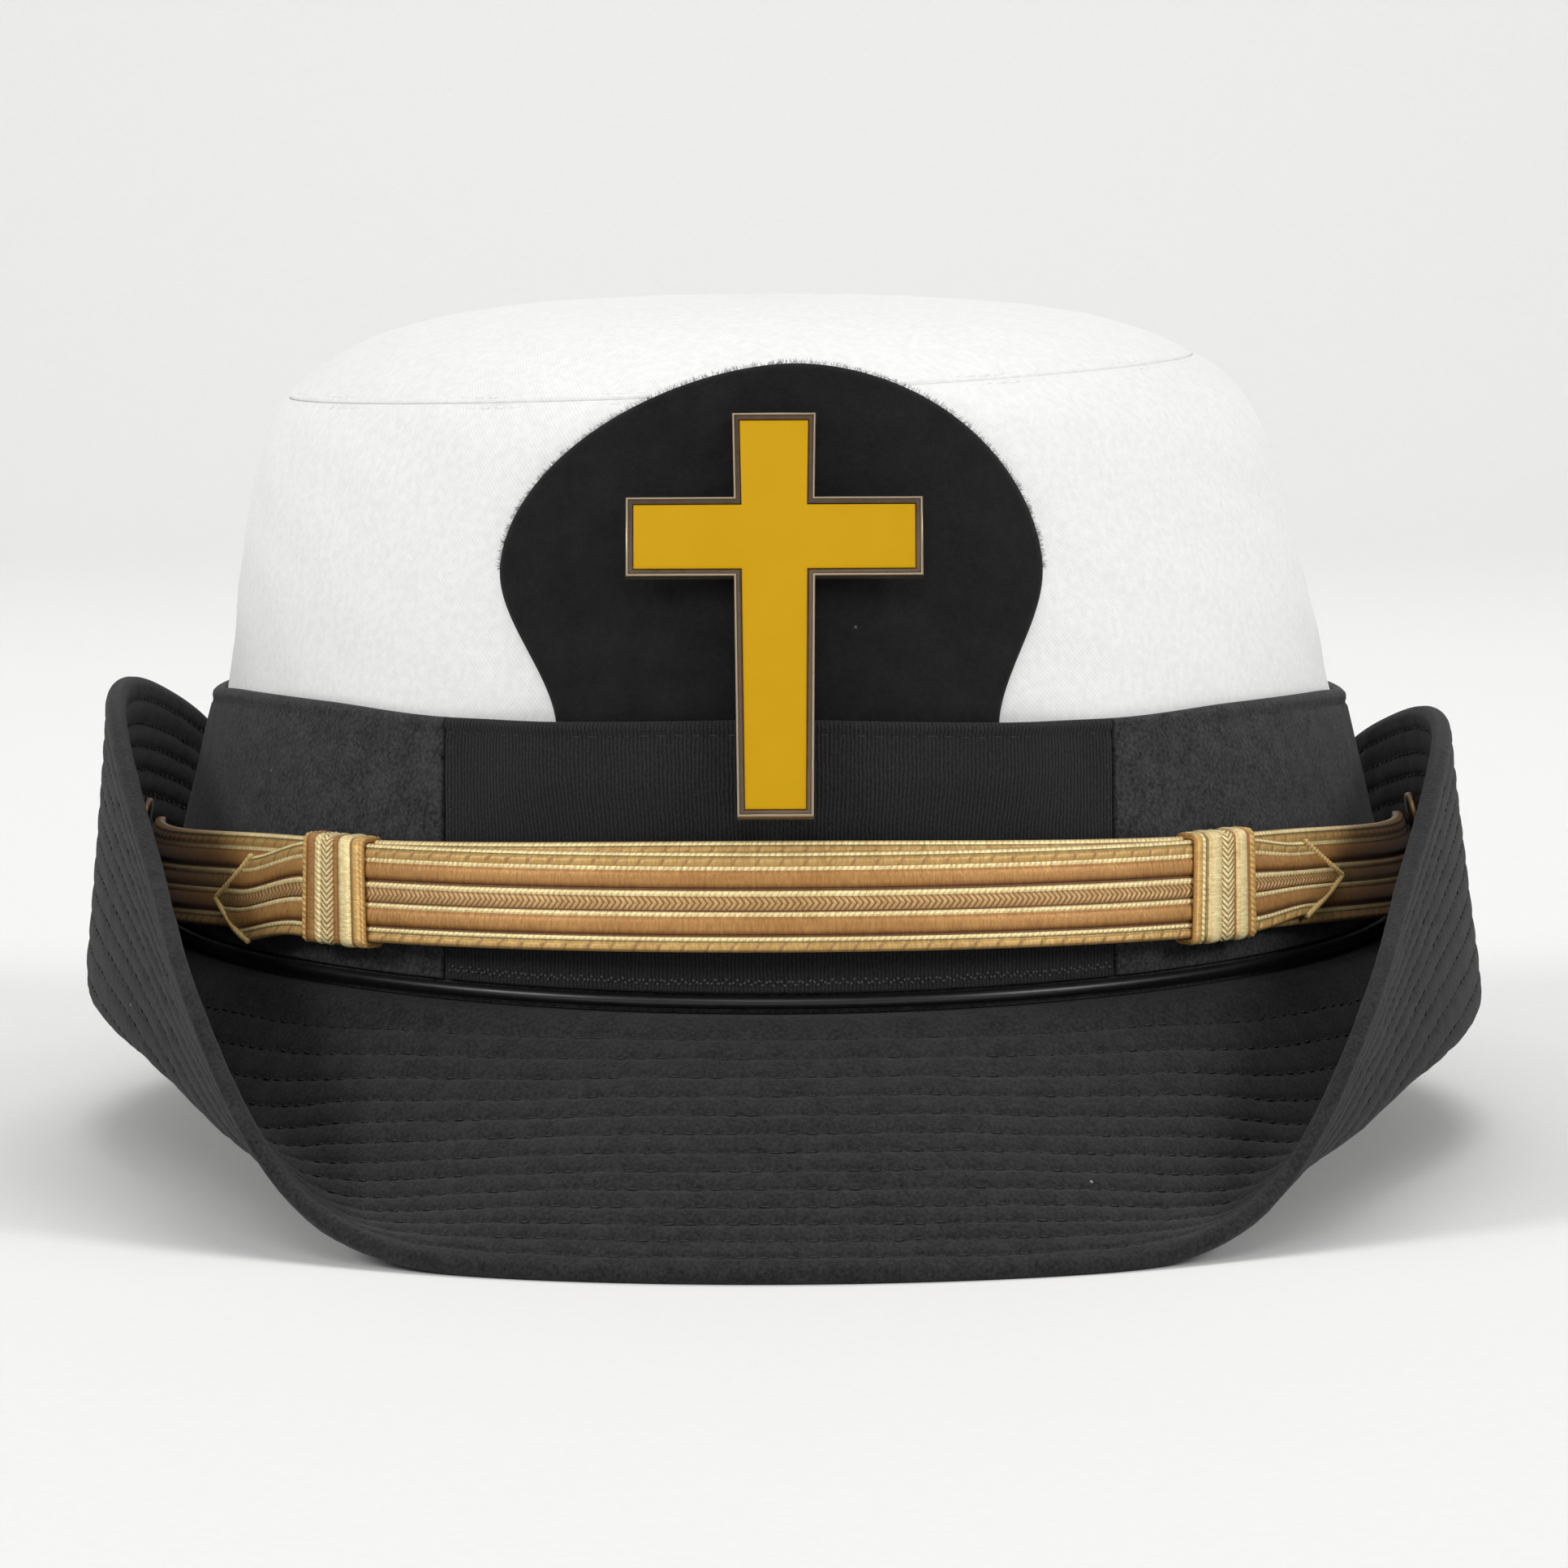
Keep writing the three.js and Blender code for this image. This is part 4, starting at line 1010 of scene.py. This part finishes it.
def band_piping(material, wool):
    angle = np.linspace(0, 360, 361)
    centres = band_point(angle, 0, WELT_OUT)
    centres[:, 2] = base_z(angle) - WELT_RADIUS - GAP
    shape = round_cord(centres, points(0 * angle, 0, 1), WELT_RADIUS, 16)
    keep(shape, "band_piping", material, "band_welt")

    # The piping's own tape, behind it, fills the slit down to the brim
    shares = np.linspace(0, 1, 5)
    share, shift, depth = wall_section(TAPE_WALL, TAPE_WALL / 2, shares, shares[::2], 3)
    turn = angle[:, None]
    z = lerp(base_z(turn) - TAPE_FOOT, base_z(turn) - TAPE_HEAD, share) + shift
    places = band_point(turn + 0 * share, z, TAPE_OUT + depth)
    keep(sheet(places, flat_map(girth(turn), z)), "piping_tape", wool)


# Brim

def bend(before, corner, after, reach, count):
    """Rounded corner between two straight runs."""
    start = corner + unit(before - corner) * reach
    end = corner + unit(after - corner) * reach
    t = np.linspace(0, 1, count)[:, None]
    return (1 - t) ** 2 * start + 2 * t * (1 - t) * corner + t**2 * end


def evenly(line, count):
    run = run_along(line)
    at = np.linspace(0, run[-1], count)
    return np.stack([np.interp(at, run, line[:, k]) for k in range(line.shape[1])], axis=-1)


def brim_line(angle):
    """Middle line of the brim's cloth at one angle, as evenly spaced points of (distance out, height)."""
    side = abs(float(near_angle(angle)))
    swing = math.sin(math.radians(2 * angle)) if side < 90 else 0

    def read(column):
        return float(read_table(BRIM_SHAPE, "angle", side, column))

    sideways = math.sin(math.radians(angle)) * abs(math.sin(math.radians(angle)))
    seat_z = float(base_z(angle)) - BRIM_DROP
    inside = np.array((-BRIM_SEAT, seat_z))
    root = np.array((BRIM_ROOT, seat_z))
    corner_r = read("corner_r") + FOLD_SHIFT * sideways + FOLD_SWING * swing
    corner = np.array((corner_r, read("corner_z") - FOLD_TILT * sideways))
    edge = np.array((read("edge_r"), read("edge_z") - FLAP_TILT * sideways))
    first = bend(inside, root, corner, ROOT_REACH, 9)
    fold = bend(root, corner, edge, read("roll"), 33)
    return evenly(np.concatenate((inside[None], first, fold, edge[None])), 260)


def brim_lines():
    """Middle lines at every degree, softened from each to the next so that the folds run smoothly."""
    lines = np.array([brim_line(angle) for angle in range(BRIM_COLUMNS)])
    reach = range(-3 * BRIM_SOFTENING, 3 * BRIM_SOFTENING + 1)
    weights = {k: math.exp(-((k / BRIM_SOFTENING) ** 2) / 2) for k in reach}
    soft = sum(weight * np.roll(lines, k, axis=0) for k, weight in weights.items()) / sum(weights.values())
    return np.concatenate((soft, soft[:1]))


class BrimCloth:
    """Places on the brim, by distance along each section and by height over the cloth's middle."""

    def __init__(self):
        self.lines = brim_lines()
        self.angles = np.linspace(0, 360, BRIM_COLUMNS + 1)
        self.runs = np.array([run_along(line) for line in self.lines])
        self.length = self.runs[:, -1:]
        self.tangents = unit(np.gradient(self.lines, axis=1))
        self.foot = band_point(self.angles, 0, 0)
        self.outward = outward_at(self.angles)

    def read(self, table, k, along):
        columns = zip(along, self.runs, table)
        return np.array([np.interp(at, run, row[:, k]) for at, run, row in columns])

    def place(self, along, height):
        r = self.read(self.lines, 0, along) - self.read(self.tangents, 1, along) * height
        z = self.read(self.lines, 1, along) + self.read(self.tangents, 0, along) * height
        spot = self.foot[:, None] + self.outward[:, None] * r[..., None]
        spot[..., 2] = np.maximum(z, -BASE[2])
        return spot

    def row(self, along, height):
        """One line round the brim with its normals."""
        line = self.place(along, height)[:, 0]
        beyond = self.place(along, height + math.copysign(1, height))[:, 0]
        return line, unit(beyond - line)


def brim(material, thread):
    cloth = BrimCloth()
    front = float(cloth.length[0, 0])
    k = np.arange(STITCH_ROWS)
    rows_at = BRIM_SEAT + BRIM_ROOT + FIRST_STITCH_ROW + STITCH_ROW_PITCH * k - STITCH_ROW_NARROWING * k * k

    # Places along the section, close together at each row of stitches
    part = np.linspace(0, 1, 9)[:-1]
    close = part - 0.6 * np.sin(2 * math.pi * part) / (2 * math.pi)
    between = (rows_at[:-1, None] + np.diff(rows_at)[:, None] * close).ravel()
    at_edge = front - EDGE_STITCH_INSET + np.array((-0.9, -0.5, -0.25, 0, 0.25, 0.5, 0.9, 1.4))
    places = np.concatenate(([2.5, 4, 5.5, 7, 8.2], between, [rows_at[-1], rows_at[-1] + 0.5], at_edge))
    shares = (places - BRIM_EDGE_RADIUS) / (front - 2 * BRIM_EDGE_RADIUS)
    shares = np.concatenate(([0], shares[shares < 1], [1]))
    share, shift, depth = wall_section(BRIM_WALL, BRIM_EDGE_RADIUS, shares, shares, 5)

    along = share * cloth.length + shift
    at_front = along / cloth.length * front
    around = girth(cloth.angles)[:, None] * 1.25
    sewn = groove(along - cloth.length + EDGE_STITCH_INSET, 0.4, 0.28)
    for at in rows_at:
        sewn = sewn + groove(at_front - at, 0.42, 0.22) + groove(at_front - at, 1.0, 0.1)
    sewn = sewn + ripple(around, at_front, (7.3, 11.9, 17.7), 0.1, around[-1, 0]) * smooth(at_front, 5, 12)
    height = BRIM_WALL / 2 + depth + sewn * (depth == 0) - sewn * (depth == -BRIM_WALL)
    shape = sheet(cloth.place(along, height), flat_map(around, along))
    keep(shape, "brim_cloth", material, "brim")

    rows = []
    for face in (1, -1):
        height = face * (BRIM_WALL / 2 - STITCH_SINK)
        for at in rows_at:
            line, normals = cloth.row(at / front * cloth.length, height)
            rows.append(stitches_along(line, normals, "brim_row"))
        line, normals = cloth.row(cloth.length - EDGE_STITCH_INSET, height)
        rows.append(stitches_along(line, normals, "brim_edge"))
    joined_stitches("brim_stitching", rows, thread)


# Felt tab

def tab_point(x, z, out):
    """Point on the surface that the tab follows: the crown's front, carried straight on over the shoulder."""
    low_z = TAB_STRAIGHT_Z - TAB_SLOPE_SPAN
    reach = {}
    for column in ("half_width", "half_length"):
        low, high = (read_table(CROWN_SHAPE, "z", place, column) for place in (low_z, TAB_STRAIGHT_Z))
        straight = lerp(low, high, (z - low_z) / TAB_SLOPE_SPAN)
        reach[column] = np.where(z < TAB_STRAIGHT_Z, read_table(CROWN_SHAPE, "z", z, column), straight)
    across = (x - lean_at(z)) / (reach["half_width"] + out)
    return points(x, -(reach["half_length"] + out) * np.sqrt(1 - across * across), z)


def tab_half_width(z):
    neck = lerp(TAB_NECK_HALF_WIDTH, TAB_HALF_WIDTH, smooth(z, TAB_NECK_Z, TAB_WAIST_Z))
    rise = np.clip((z - TAB_WAIST_Z) / TAB_RISE, 0, 1)
    head = TAB_HALF_WIDTH * (1 - rise**TAB_ROUNDNESS) ** (1 / TAB_ROUNDNESS)
    return np.where(z < TAB_WAIST_Z, neck, head)


def tab_edge_distance(part, z):
    """Rough distance from a point of the tab to its outline."""
    sideways = tab_half_width(z) * (1 - np.abs(part))
    x = np.clip(np.abs(part) * tab_half_width(z) / TAB_HALF_WIDTH, 0, 1)
    top = TAB_WAIST_Z + TAB_RISE * (1 - x**TAB_ROUNDNESS) ** (1 / TAB_ROUNDNESS)
    upward = np.maximum(top - z, 0)
    return sideways * upward / np.maximum(np.hypot(sideways, upward), 1e-6)


def tab_place(part, z, out):
    rise = np.clip((z - TAB_WAIST_Z) / TAB_RISE, 0, 1)
    neck = TAB_NECK_SHIFT * (1 - smooth(z, TAB_NECK_Z, TAB_WAIST_Z))
    x = TAB_CENTRE_X + neck + TAB_SKEW * rise**2 + part * tab_half_width(z)
    return tab_point(x, z, out)


def device_tab(material, fibre):
    turn = np.linspace(0, math.pi / 2, 70)[1:]
    head = TAB_WAIST_Z + TAB_RISE * np.sin(turn) ** (2 / TAB_ROUNDNESS)
    z = np.concatenate((np.linspace(TAB_FOOT_Z, TAB_WAIST_Z, 40), head))[:, None]
    part = np.sin(np.linspace(-math.pi / 2, math.pi / 2, 121))
    loop = np.concatenate((part, part[::-1][1:]))
    face = np.concatenate((1 + 0 * part, 0 * part[1:] - 1))
    face[[0, len(part) - 1, -1]] = 0
    half = TAB_WALL / 2
    thick = half - 0.92 * end_drop(tab_edge_distance(loop, z), half)
    x = loop * tab_half_width(z)
    lumps = ripple(x, z, (5.3, 8.9, 14.1), 0.05) * (face > 0)
    places = tab_place(loop, z, TAB_OUT + half + face * thick + lumps)
    places[-1] = places[-1].mean(axis=0)
    keep(sheet(places, flat_map(x, z)), "felt_tab", material, "device_tab")

    # Loose fibres that stand out of the cut edge
    turns = rng.uniform(0.02, math.pi - 0.02, FIBRE_COUNT)
    height = TAB_WAIST_Z + TAB_RISE * np.sin(turns) ** (2 / TAB_ROUNDNESS)
    out = TAB_OUT + half + rng.uniform(-0.4, 0.4, FIBRE_COUNT)
    edge = tab_place(np.sign(np.cos(turns)) * 0.998, height, out)
    outward = unit(points(np.cos(turns), 0, np.sin(turns)) + rng.normal(0, 0.6, (FIBRE_COUNT, 3)))
    side = unit(np.cross(outward, (0.3, 1, 0.2)))
    length = rng.uniform(0.2, 0.55, FIBRE_COUNT)[:, None]
    thick = (side * FIBRE_RADIUS, np.cross(outward, side) * FIBRE_RADIUS)
    axes = (edge + outward * length * 0.6, outward * length, *thick)
    joined_stitches("felt_fibres", [np.stack(axes, axis=1)], fibre)


# Cross

def cross_outline(inset):
    half = CROSS_BAR / 2 - inset
    head_half = CROSS_HEAD_BAR / 2 - inset
    foot_half = CROSS_FOOT_BAR / 2 - inset
    arm_z = CROSS_HEIGHT - CROSS_ARM_FROM_TOP
    right = [
        (foot_half, inset),
        (half, arm_z - half),
        (CROSS_SPAN / 2 - inset, arm_z - half),
        (CROSS_SPAN / 2 - inset, arm_z + half),
        (half, arm_z + half),
        (head_half, CROSS_HEIGHT - inset),
    ]
    return right + [(-x, y) for x, y in reversed(right)]


def stand_cross(shape):
    """Stands a shape made flat on the ground plane, with its top along +Y, in the cross's place."""
    lean = Matrix.Rotation(math.pi / 2 - math.radians(CROSS_LEAN), 4, "X")
    place = Matrix.Translation(Vector(np.array(CROSS_FOOT) + BASE))
    bmesh.ops.transform(shape, matrix=Matrix.Scale(MM, 4) @ place @ lean, verts=shape.verts)


def plate(steps):
    """Solid cross through its outline at each step of (inset, height), from the back to the front."""
    shape = bmesh.new()
    layer = shape.loops.layers.uv.new("flat_mm")
    inset_of = {}
    rings = []
    for inset, height in steps:
        verts = [shape.verts.new((x, y, height)) for x, y in cross_outline(inset)]
        inset_of.update({vert: inset for vert in verts})
        rings.append([shape.edges.new((verts[k - 1], verts[k])) for k in range(len(verts))])
    for first, second in zip(rings, rings[1:]):
        bmesh.ops.bridge_loops(shape, edges=first + second)
    for ring in (rings[0], rings[-1]):
        bmesh.ops.edgeloop_fill(shape, edges=ring)
    bmesh.ops.recalc_face_normals(shape, faces=shape.faces)
    for face in shape.faces:
        for loop in face.loops:
            loop[layer].uv = (inset_of[loop.vert], 0)
    return shape


def cross(bronze, enamel):
    top = CROSS_THICKNESS
    floor = top - CROSS_RECESS
    shape = plate([
        (0.15, 0), (0, 0.15), (0, top - 0.14), (0.05, top - 0.04), (0.13, top), (0.2, top),
        (0.3, top - 0.05), (0.45, top - 0.1), (0.62, top - 0.12), (0.78, top - 0.15), (0.84, top - 0.22),
        (0.88, floor),
    ])
    stand_cross(shape)
    keep(shape, "cross_plate", bronze, "cross_frame", sharp=50)
    cover = plate([
        (0.96, floor + 0.05), (0.92, floor + 0.1), (0.92, top - 0.3), (0.97, top - 0.19),
        (1.07, top - 0.13), (1.3, top - 0.1), (1.8, top - 0.08),
    ])
    stand_cross(cover)
    keep(cover, "cross_face", enamel, "cross_enamel", sharp=50)
    neck = POST_LENGTH - CLUTCH_THICKNESS
    profile = [
        (0, -0.2), (POST_RADIUS, -0.2), (POST_RADIUS, neck), (CLUTCH_RADIUS - 0.3, neck),
        (CLUTCH_RADIUS, neck + 0.3), (CLUTCH_RADIUS, POST_LENGTH - 0.3), (CLUTCH_RADIUS - 0.3, POST_LENGTH),
        (0, POST_LENGTH),
    ]
    for word, height in zip(("lower", "upper"), POST_HEIGHTS):
        post = turned(profile, 32)
        flip = Matrix.Translation((0, height, 0)) @ Matrix.Rotation(math.pi, 4, "X")
        bmesh.ops.transform(post, matrix=flip, verts=post.verts)
        stand_cross(post)
        keep(post, f"cross_post_{word}", bronze, sharp=40)


# Chin strap

def strap_z(angle):
    end_fall = STRAP_END_FALL * smooth(np.abs(angle), STRAP_FALL_START_ANGLE, STRAP_FALL_FULL_ANGLE)
    return STRAP_Z - STRAP_FALL * np.sin(np.radians(angle)) ** 2 - end_fall


def rear_out(angle):
    return STRAP_REAR_OUT + STRAP_FLARE * smooth(np.abs(angle), STRAP_FLARE_ANGLE, STRAP_END_ANGLE)


def rear_rise(angle):
    return STRAP_REAR_RISE * np.cos(np.radians(angle)) ** STRAP_RISE_SHARPNESS


def front_droop(angle):
    end = STRAP_TIP_ANGLE - STRAP_DROOP_MARGIN
    return -STRAP_LEFT_DROOP * smooth(-angle, SLIDE_ANGLE + STRAP_DROOP_MARGIN, end)


def front_share(angle):
    """Share of its width that the front layer keeps; its ends are pressed narrower past the slides."""
    right = STRAP_RIGHT_TAPER * smooth(angle, SLIDE_ANGLE + 2, STRAP_CORNER_ANGLE)
    left = STRAP_LEFT_TAPER * smooth(-angle, SLIDE_ANGLE + 2, STRAP_CORNER_ANGLE)
    return 1 - right - left


def front_tip(side):
    """Angle of the front layer's tip; the left one is a little shorter."""
    return STRAP_TIP_ANGLE - STRAP_LEFT_SHORT * (np.asarray(side) < 0)


def lace_relief(strands, width, along, across):
    """How high the lace's threads stand over its ground."""
    starts = np.array([strand["start"] for strand in strands])
    ends = np.append(starts[1:], width)
    heights = np.array([strand["height"] for strand in strands])
    lays = np.array([strand["lay"] for strand in strands])
    k = np.clip(np.searchsorted(starts, across, side="right") - 1, 0, len(strands) - 1)
    part = np.clip((across - starts[k]) / (ends[k] - starts[k]), 0, 1)
    round_top = np.sqrt(np.clip(1 - (2 * part - 1) ** 2, 0, 1))
    slanted = along - LACE_SLANT * across
    turned_back = along + HERRINGBONE_SLANT * np.abs(across - herringbone_middle(strands))
    twist, zigzag = (0.5 + 0.5 * np.cos(2 * math.pi * run / CORD_PITCH) for run in (slanted, turned_back))
    block = 1 - np.abs((slanted / BRAID_PITCH) % 1 - 0.5) * 2
    lay = lays[k]
    shape = np.where(lay == "cord", round_top * (0.55 + 0.45 * twist), round_top**0.7)
    shape = np.where(lay == "herringbone", round_top * (0.35 + 0.65 * zigzag), shape)
    shape = np.where(lay == "braid", round_top**0.6 * (0.4 + 0.6 * smooth(block, 0, 0.3)), shape)
    return heights[k] * shape


def lace_section(width, wall, radius, rows):
    """Section of lace, across it and through it: the face has many rows and the back few."""
    share, shift, depth = wall_section(wall, radius, np.linspace(0, 1, rows), np.linspace(0, 1, 7), 3)
    return share * width + shift, depth


def chin_strap_front(material, cord):
    up, depth = lace_section(STRAP_WIDTH, STRAP_WALL, STRAP_EDGE_RADIUS, 64)
    part = np.linspace(-1, 1, 1001)[:, None]
    high = up - STRAP_WIDTH / 2
    share = np.abs(high) / (STRAP_WIDTH / 2)
    end = lerp(front_tip(part), STRAP_CORNER_ANGLE + STRAP_SLANT * high, share)
    angle = part * end
    z = strap_z(angle) + front_droop(angle) + high * front_share(angle)
    along = girth(angle) * STRAP_TAKE_UP
    across = up + 0 * angle
    relief = lace_relief(STRAP_LACE, STRAP_WIDTH, along, across) * (depth == 0)
    tail = end_drop((1 - np.abs(part)) * end * 1.7, 0.5) * (depth > -STRAP_WALL / 2)
    out = STRAP_FRONT_OUT + STRAP_WALL - STRAP_LACE_SINK + depth + relief - tail
    shape = sheet(band_point(angle, z, out), flat_map(along, across))
    keep(shape, "chin_strap_lace", material, "chin_strap_front")

    # Cord that binds each pointed end
    t = np.linspace(-1, 1, 121)
    rise = t * (STRAP_WIDTH / 2 + 0.1)
    for side, word in ((-1, "left"), (1, "right")):
        turn = side * lerp(front_tip(side) + 0.1, STRAP_CORNER_ANGLE + STRAP_SLANT * rise, np.abs(t))
        height = strap_z(turn) + front_droop(turn) + rise * front_share(turn)
        centres = band_point(turn, height, STRAP_FRONT_OUT + STRAP_WALL - 0.2)
        shape = round_cord(centres, outward_at(turn), BINDING_RADIUS, 10, CORD_PITCH, 0.3)
        keep(shape, f"chin_strap_binding_{word}", cord)


def chin_strap_rear(material):
    up, depth = lace_section(STRAP_WIDTH, STRAP_WALL, STRAP_EDGE_RADIUS, 44)
    angle = np.linspace(-STRAP_END_ANGLE, STRAP_END_ANGLE, 1101)[:, None]
    past = np.clip((np.abs(angle) - STRAP_ROUND_ANGLE) / (STRAP_END_ANGLE - STRAP_ROUND_ANGLE), 0, 1)
    narrow = lerp(STRAP_TIP_SHARE, 1, np.sqrt(1 - past * past))
    z = strap_z(angle) + rear_rise(angle) + (up - STRAP_WIDTH / 2) * narrow
    along = girth(angle) * STRAP_TAKE_UP + 0 * up
    across = up + 0 * angle
    relief = lace_relief(STRAP_LACE, STRAP_WIDTH, along, across) * (depth == 0)
    out = rear_out(angle) + STRAP_WALL - STRAP_LACE_SINK + depth + relief
    shape = sheet(band_point(angle + 0 * up, z, out), flat_map(along, across))
    keep(shape, "chin_strap_rear_lace", material, "chin_strap_rear")


def slide(side, word, strands, material):
    """Closed loop of lace round both layers; its stripes run round the loop."""
    angle = side * SLIDE_ANGLE
    middle = float(strap_z(angle) + rear_rise(angle) / 2)
    half = STRAP_WIDTH / 2 + float(rear_rise(angle)) / 2 + SLIDE_CLEARANCE + SLIDE_WALL
    low = STRAP_REAR_OUT - GAP - SLIDE_WALL
    high = STRAP_FRONT_OUT + STRAP_WALL + GAP + SLIDE_WALL
    corners = np.array([(low, half), (high, half), (high, -half), (low, -half)])
    bends = [bend(corners[k - 1], corners[k], corners[(k + 1) % 4], SLIDE_CORNER, 9) for k in range(4)]
    loop = np.concatenate(bends + [bends[0][:1]])
    line = evenly(loop, 221)
    at = run_along(line)[:, None]
    ahead = headings(line)
    outward = np.stack((-ahead[:, 1], ahead[:, 0]), axis=-1)
    across, depth = lace_section(SLIDE_LENGTH, SLIDE_WALL, SLIDE_EDGE_RADIUS, 60)
    relief = lace_relief(strands, SLIDE_LENGTH, at, across[None]) * (depth == 0)
    spot = line[:, None] + outward[:, None] * (depth + relief - SLIDE_LACE_SINK)[..., None]
    out, up = spot[..., 0], spot[..., 1]
    sideways = np.degrees((across - SLIDE_LENGTH / 2) / SLIDE_BEND_RADIUS)
    places = band_point(angle + sideways + side * STRAP_SLANT * up, middle + up, out)
    shape = sheet(places, flat_map(at, across[None]))
    keep(shape, f"slide_lace_{word}", material, f"slide_{word}")


# Buttons

def button(side, word, material):
    foot = float(rear_out(STRAP_END_ANGLE)) + STRAP_WALL + GAP
    rim = BUTTON_RADIUS
    top = foot + BUTTON_RIM_HEIGHT
    rise = BUTTON_HEIGHT - BUTTON_RIM_HEIGHT
    turns = np.linspace(0, math.pi / 2, 17)[:-1]
    dome = [(rim * 0.86 * math.cos(turn), top + rise * math.sin(turn)) for turn in turns]
    profile = [
        (0, 0.1), (SHANK_RADIUS, 0.1), (SHANK_RADIUS, foot), (rim * 0.9, foot), (rim * 0.98, foot + 0.2),
        (rim, foot + 0.5), (rim, top - 0.3), (rim * 0.97, top - 0.05), (rim * 0.92, top),
        (rim * 0.89, top - 0.2), *dome, (0, foot + BUTTON_HEIGHT),
    ]
    shape = turned(profile, 96)
    angle = side * BUTTON_ANGLE
    turn = math.radians(angle)
    outward = Vector((math.sin(turn) / BAND_HALF_WIDTH, -math.cos(turn) / BAND_HALF_LENGTH,
                      BAND_SIDE_SLOPE / BAND_HALF_WIDTH))
    stand = Vector((0, 0, 1)).rotation_difference(outward).to_matrix().to_4x4()
    place = Matrix.Translation(Vector(band_point(angle, BUTTON_Z, 0) + BASE))
    bmesh.ops.transform(shape, matrix=Matrix.Scale(MM, 4) @ place @ stand, verts=shape.verts)
    keep(shape, f"button_dome_{word}", material, f"button_{word}", sharp=50)


# Studio

def backdrop():
    """Floor that curves up into a backdrop behind the cap."""
    shape = bmesh.new()
    bmesh.ops.create_grid(shape, x_segments=40, y_segments=80, size=1)
    radius, start = 0.9, 1.4
    for vert in shape.verts:
        along = -2.2 + (vert.co.y + 1) / 2 * 6.5
        turn = min(max((along - start) / radius, 0), math.pi / 2)
        beyond = max(along - start - radius * math.pi / 2, 0)
        vert.co.x *= 3.2
        vert.co.y = min(along, start) + radius * math.sin(turn)
        vert.co.z = radius * (1 - math.cos(turn)) + beyond
    for face in shape.faces:
        face.smooth = True
    mesh = bpy.data.meshes.new("backdrop")
    shape.to_mesh(mesh)
    shape.free()
    mesh.materials.append(studio_paper())
    paper = bpy.data.objects.new("backdrop", mesh)
    bpy.context.collection.objects.link(paper)


def lamp(name, place, target, size, power):
    light = bpy.data.lights.new(name, "AREA")
    light.shape = "DISK"
    light.size = size
    light.energy = power
    lamp_object = bpy.data.objects.new(name, light)
    lamp_object.location = place
    lamp_object.rotation_euler = (Vector(target) - Vector(place)).to_track_quat("-Z", "Y").to_euler()
    bpy.context.collection.objects.link(lamp_object)


def studio():
    world = bpy.data.worlds.new("studio")
    world.use_nodes = True
    sky = world.node_tree.nodes["Background"]
    sky.inputs["Color"].default_value = (1, 1, 1, 1)
    sky.inputs["Strength"].default_value = 0.3
    bpy.context.scene.world = world
    middle = (0, -0.02, 0.06)
    lamp("front", (-0.1, -1.6, 1.2), middle, 0.9, 6)
    lamp("left", (-1.5, -0.9, 1.0), middle, 0.7, 14)
    lamp("right", (1.5, -0.9, 0.9), middle, 0.7, 14)
    lamp("top", (0.1, 0.3, 1.8), middle, 1.0, 7)
    lamp("backdrop_light", (0, 0.7, 1.7), (0, 2.3, 0.5), 1.2, 12)


def camera():
    """A long lens at the photograph's angle, a little over the cap and level with its top."""
    view = bpy.data.cameras.new("camera")
    view.lens = 158.8
    view.sensor_width = 36
    seen = bpy.data.objects.new("camera", view)
    bpy.context.collection.objects.link(seen)
    yaw = Matrix.Rotation(math.radians(-0.04), 4, "Z")
    pitch = Matrix.Rotation(math.radians(90 - 5.035), 4, "X")
    roll = Matrix.Rotation(math.radians(-0.25), 4, "Z")
    seen.matrix_world = Matrix.Translation((-0.00035, -0.93001, 0.12743)) @ yaw @ pitch @ roll
    bpy.context.scene.camera = seen
    bpy.context.scene.view_settings.view_transform = "Standard"


# The cap

camera()
backdrop()
studio()
black_thread = sewing_thread("black_thread", "#0c0c0c", "#222222")
dark_bronze = aged_bronze("dark_bronze", "#32271e", "#6a543c", 0.42)
strap_lace = gold_lace("gold_lace", STRAP_LACE, STRAP_WIDTH)

crown(white_twill(), sewing_thread("white_thread", "#ececea", "#fafaf8"))
band_wool = wool_cloth("black_wool_serge", "#141415", "#424244")
band(band_wool, ribbed_braid(), black_thread, sewing_thread("charcoal_thread", "#2b2b2c", "#505051"))
band_piping(coated_piping(), band_wool)
# The brim's serge is the band's wool in darker colours: painted shade.
brim(wool_cloth("brim_wool_serge_with_painted_shade", "#0e0e0f", "#2f2f31"), black_thread)
device_tab(black_felt(), sewing_thread("felt_fibre", "#161616", "#3a3a3a"))
cross(cross_bronze(), fired_enamel())
chin_strap_front(strap_lace, sewing_thread("gold_cord", "#b98a3e", "#ecd592"))
chin_strap_rear(strap_lace)
slide(-1, "left", LEFT_SLIDE_LACE, gold_lace("left_slide_lace", LEFT_SLIDE_LACE, SLIDE_LENGTH))
slide(1, "right", RIGHT_SLIDE_LACE, gold_lace("right_slide_lace", RIGHT_SLIDE_LACE, SLIDE_LENGTH))
button(-1, "left", dark_bronze)
button(1, "right", dark_bronze)
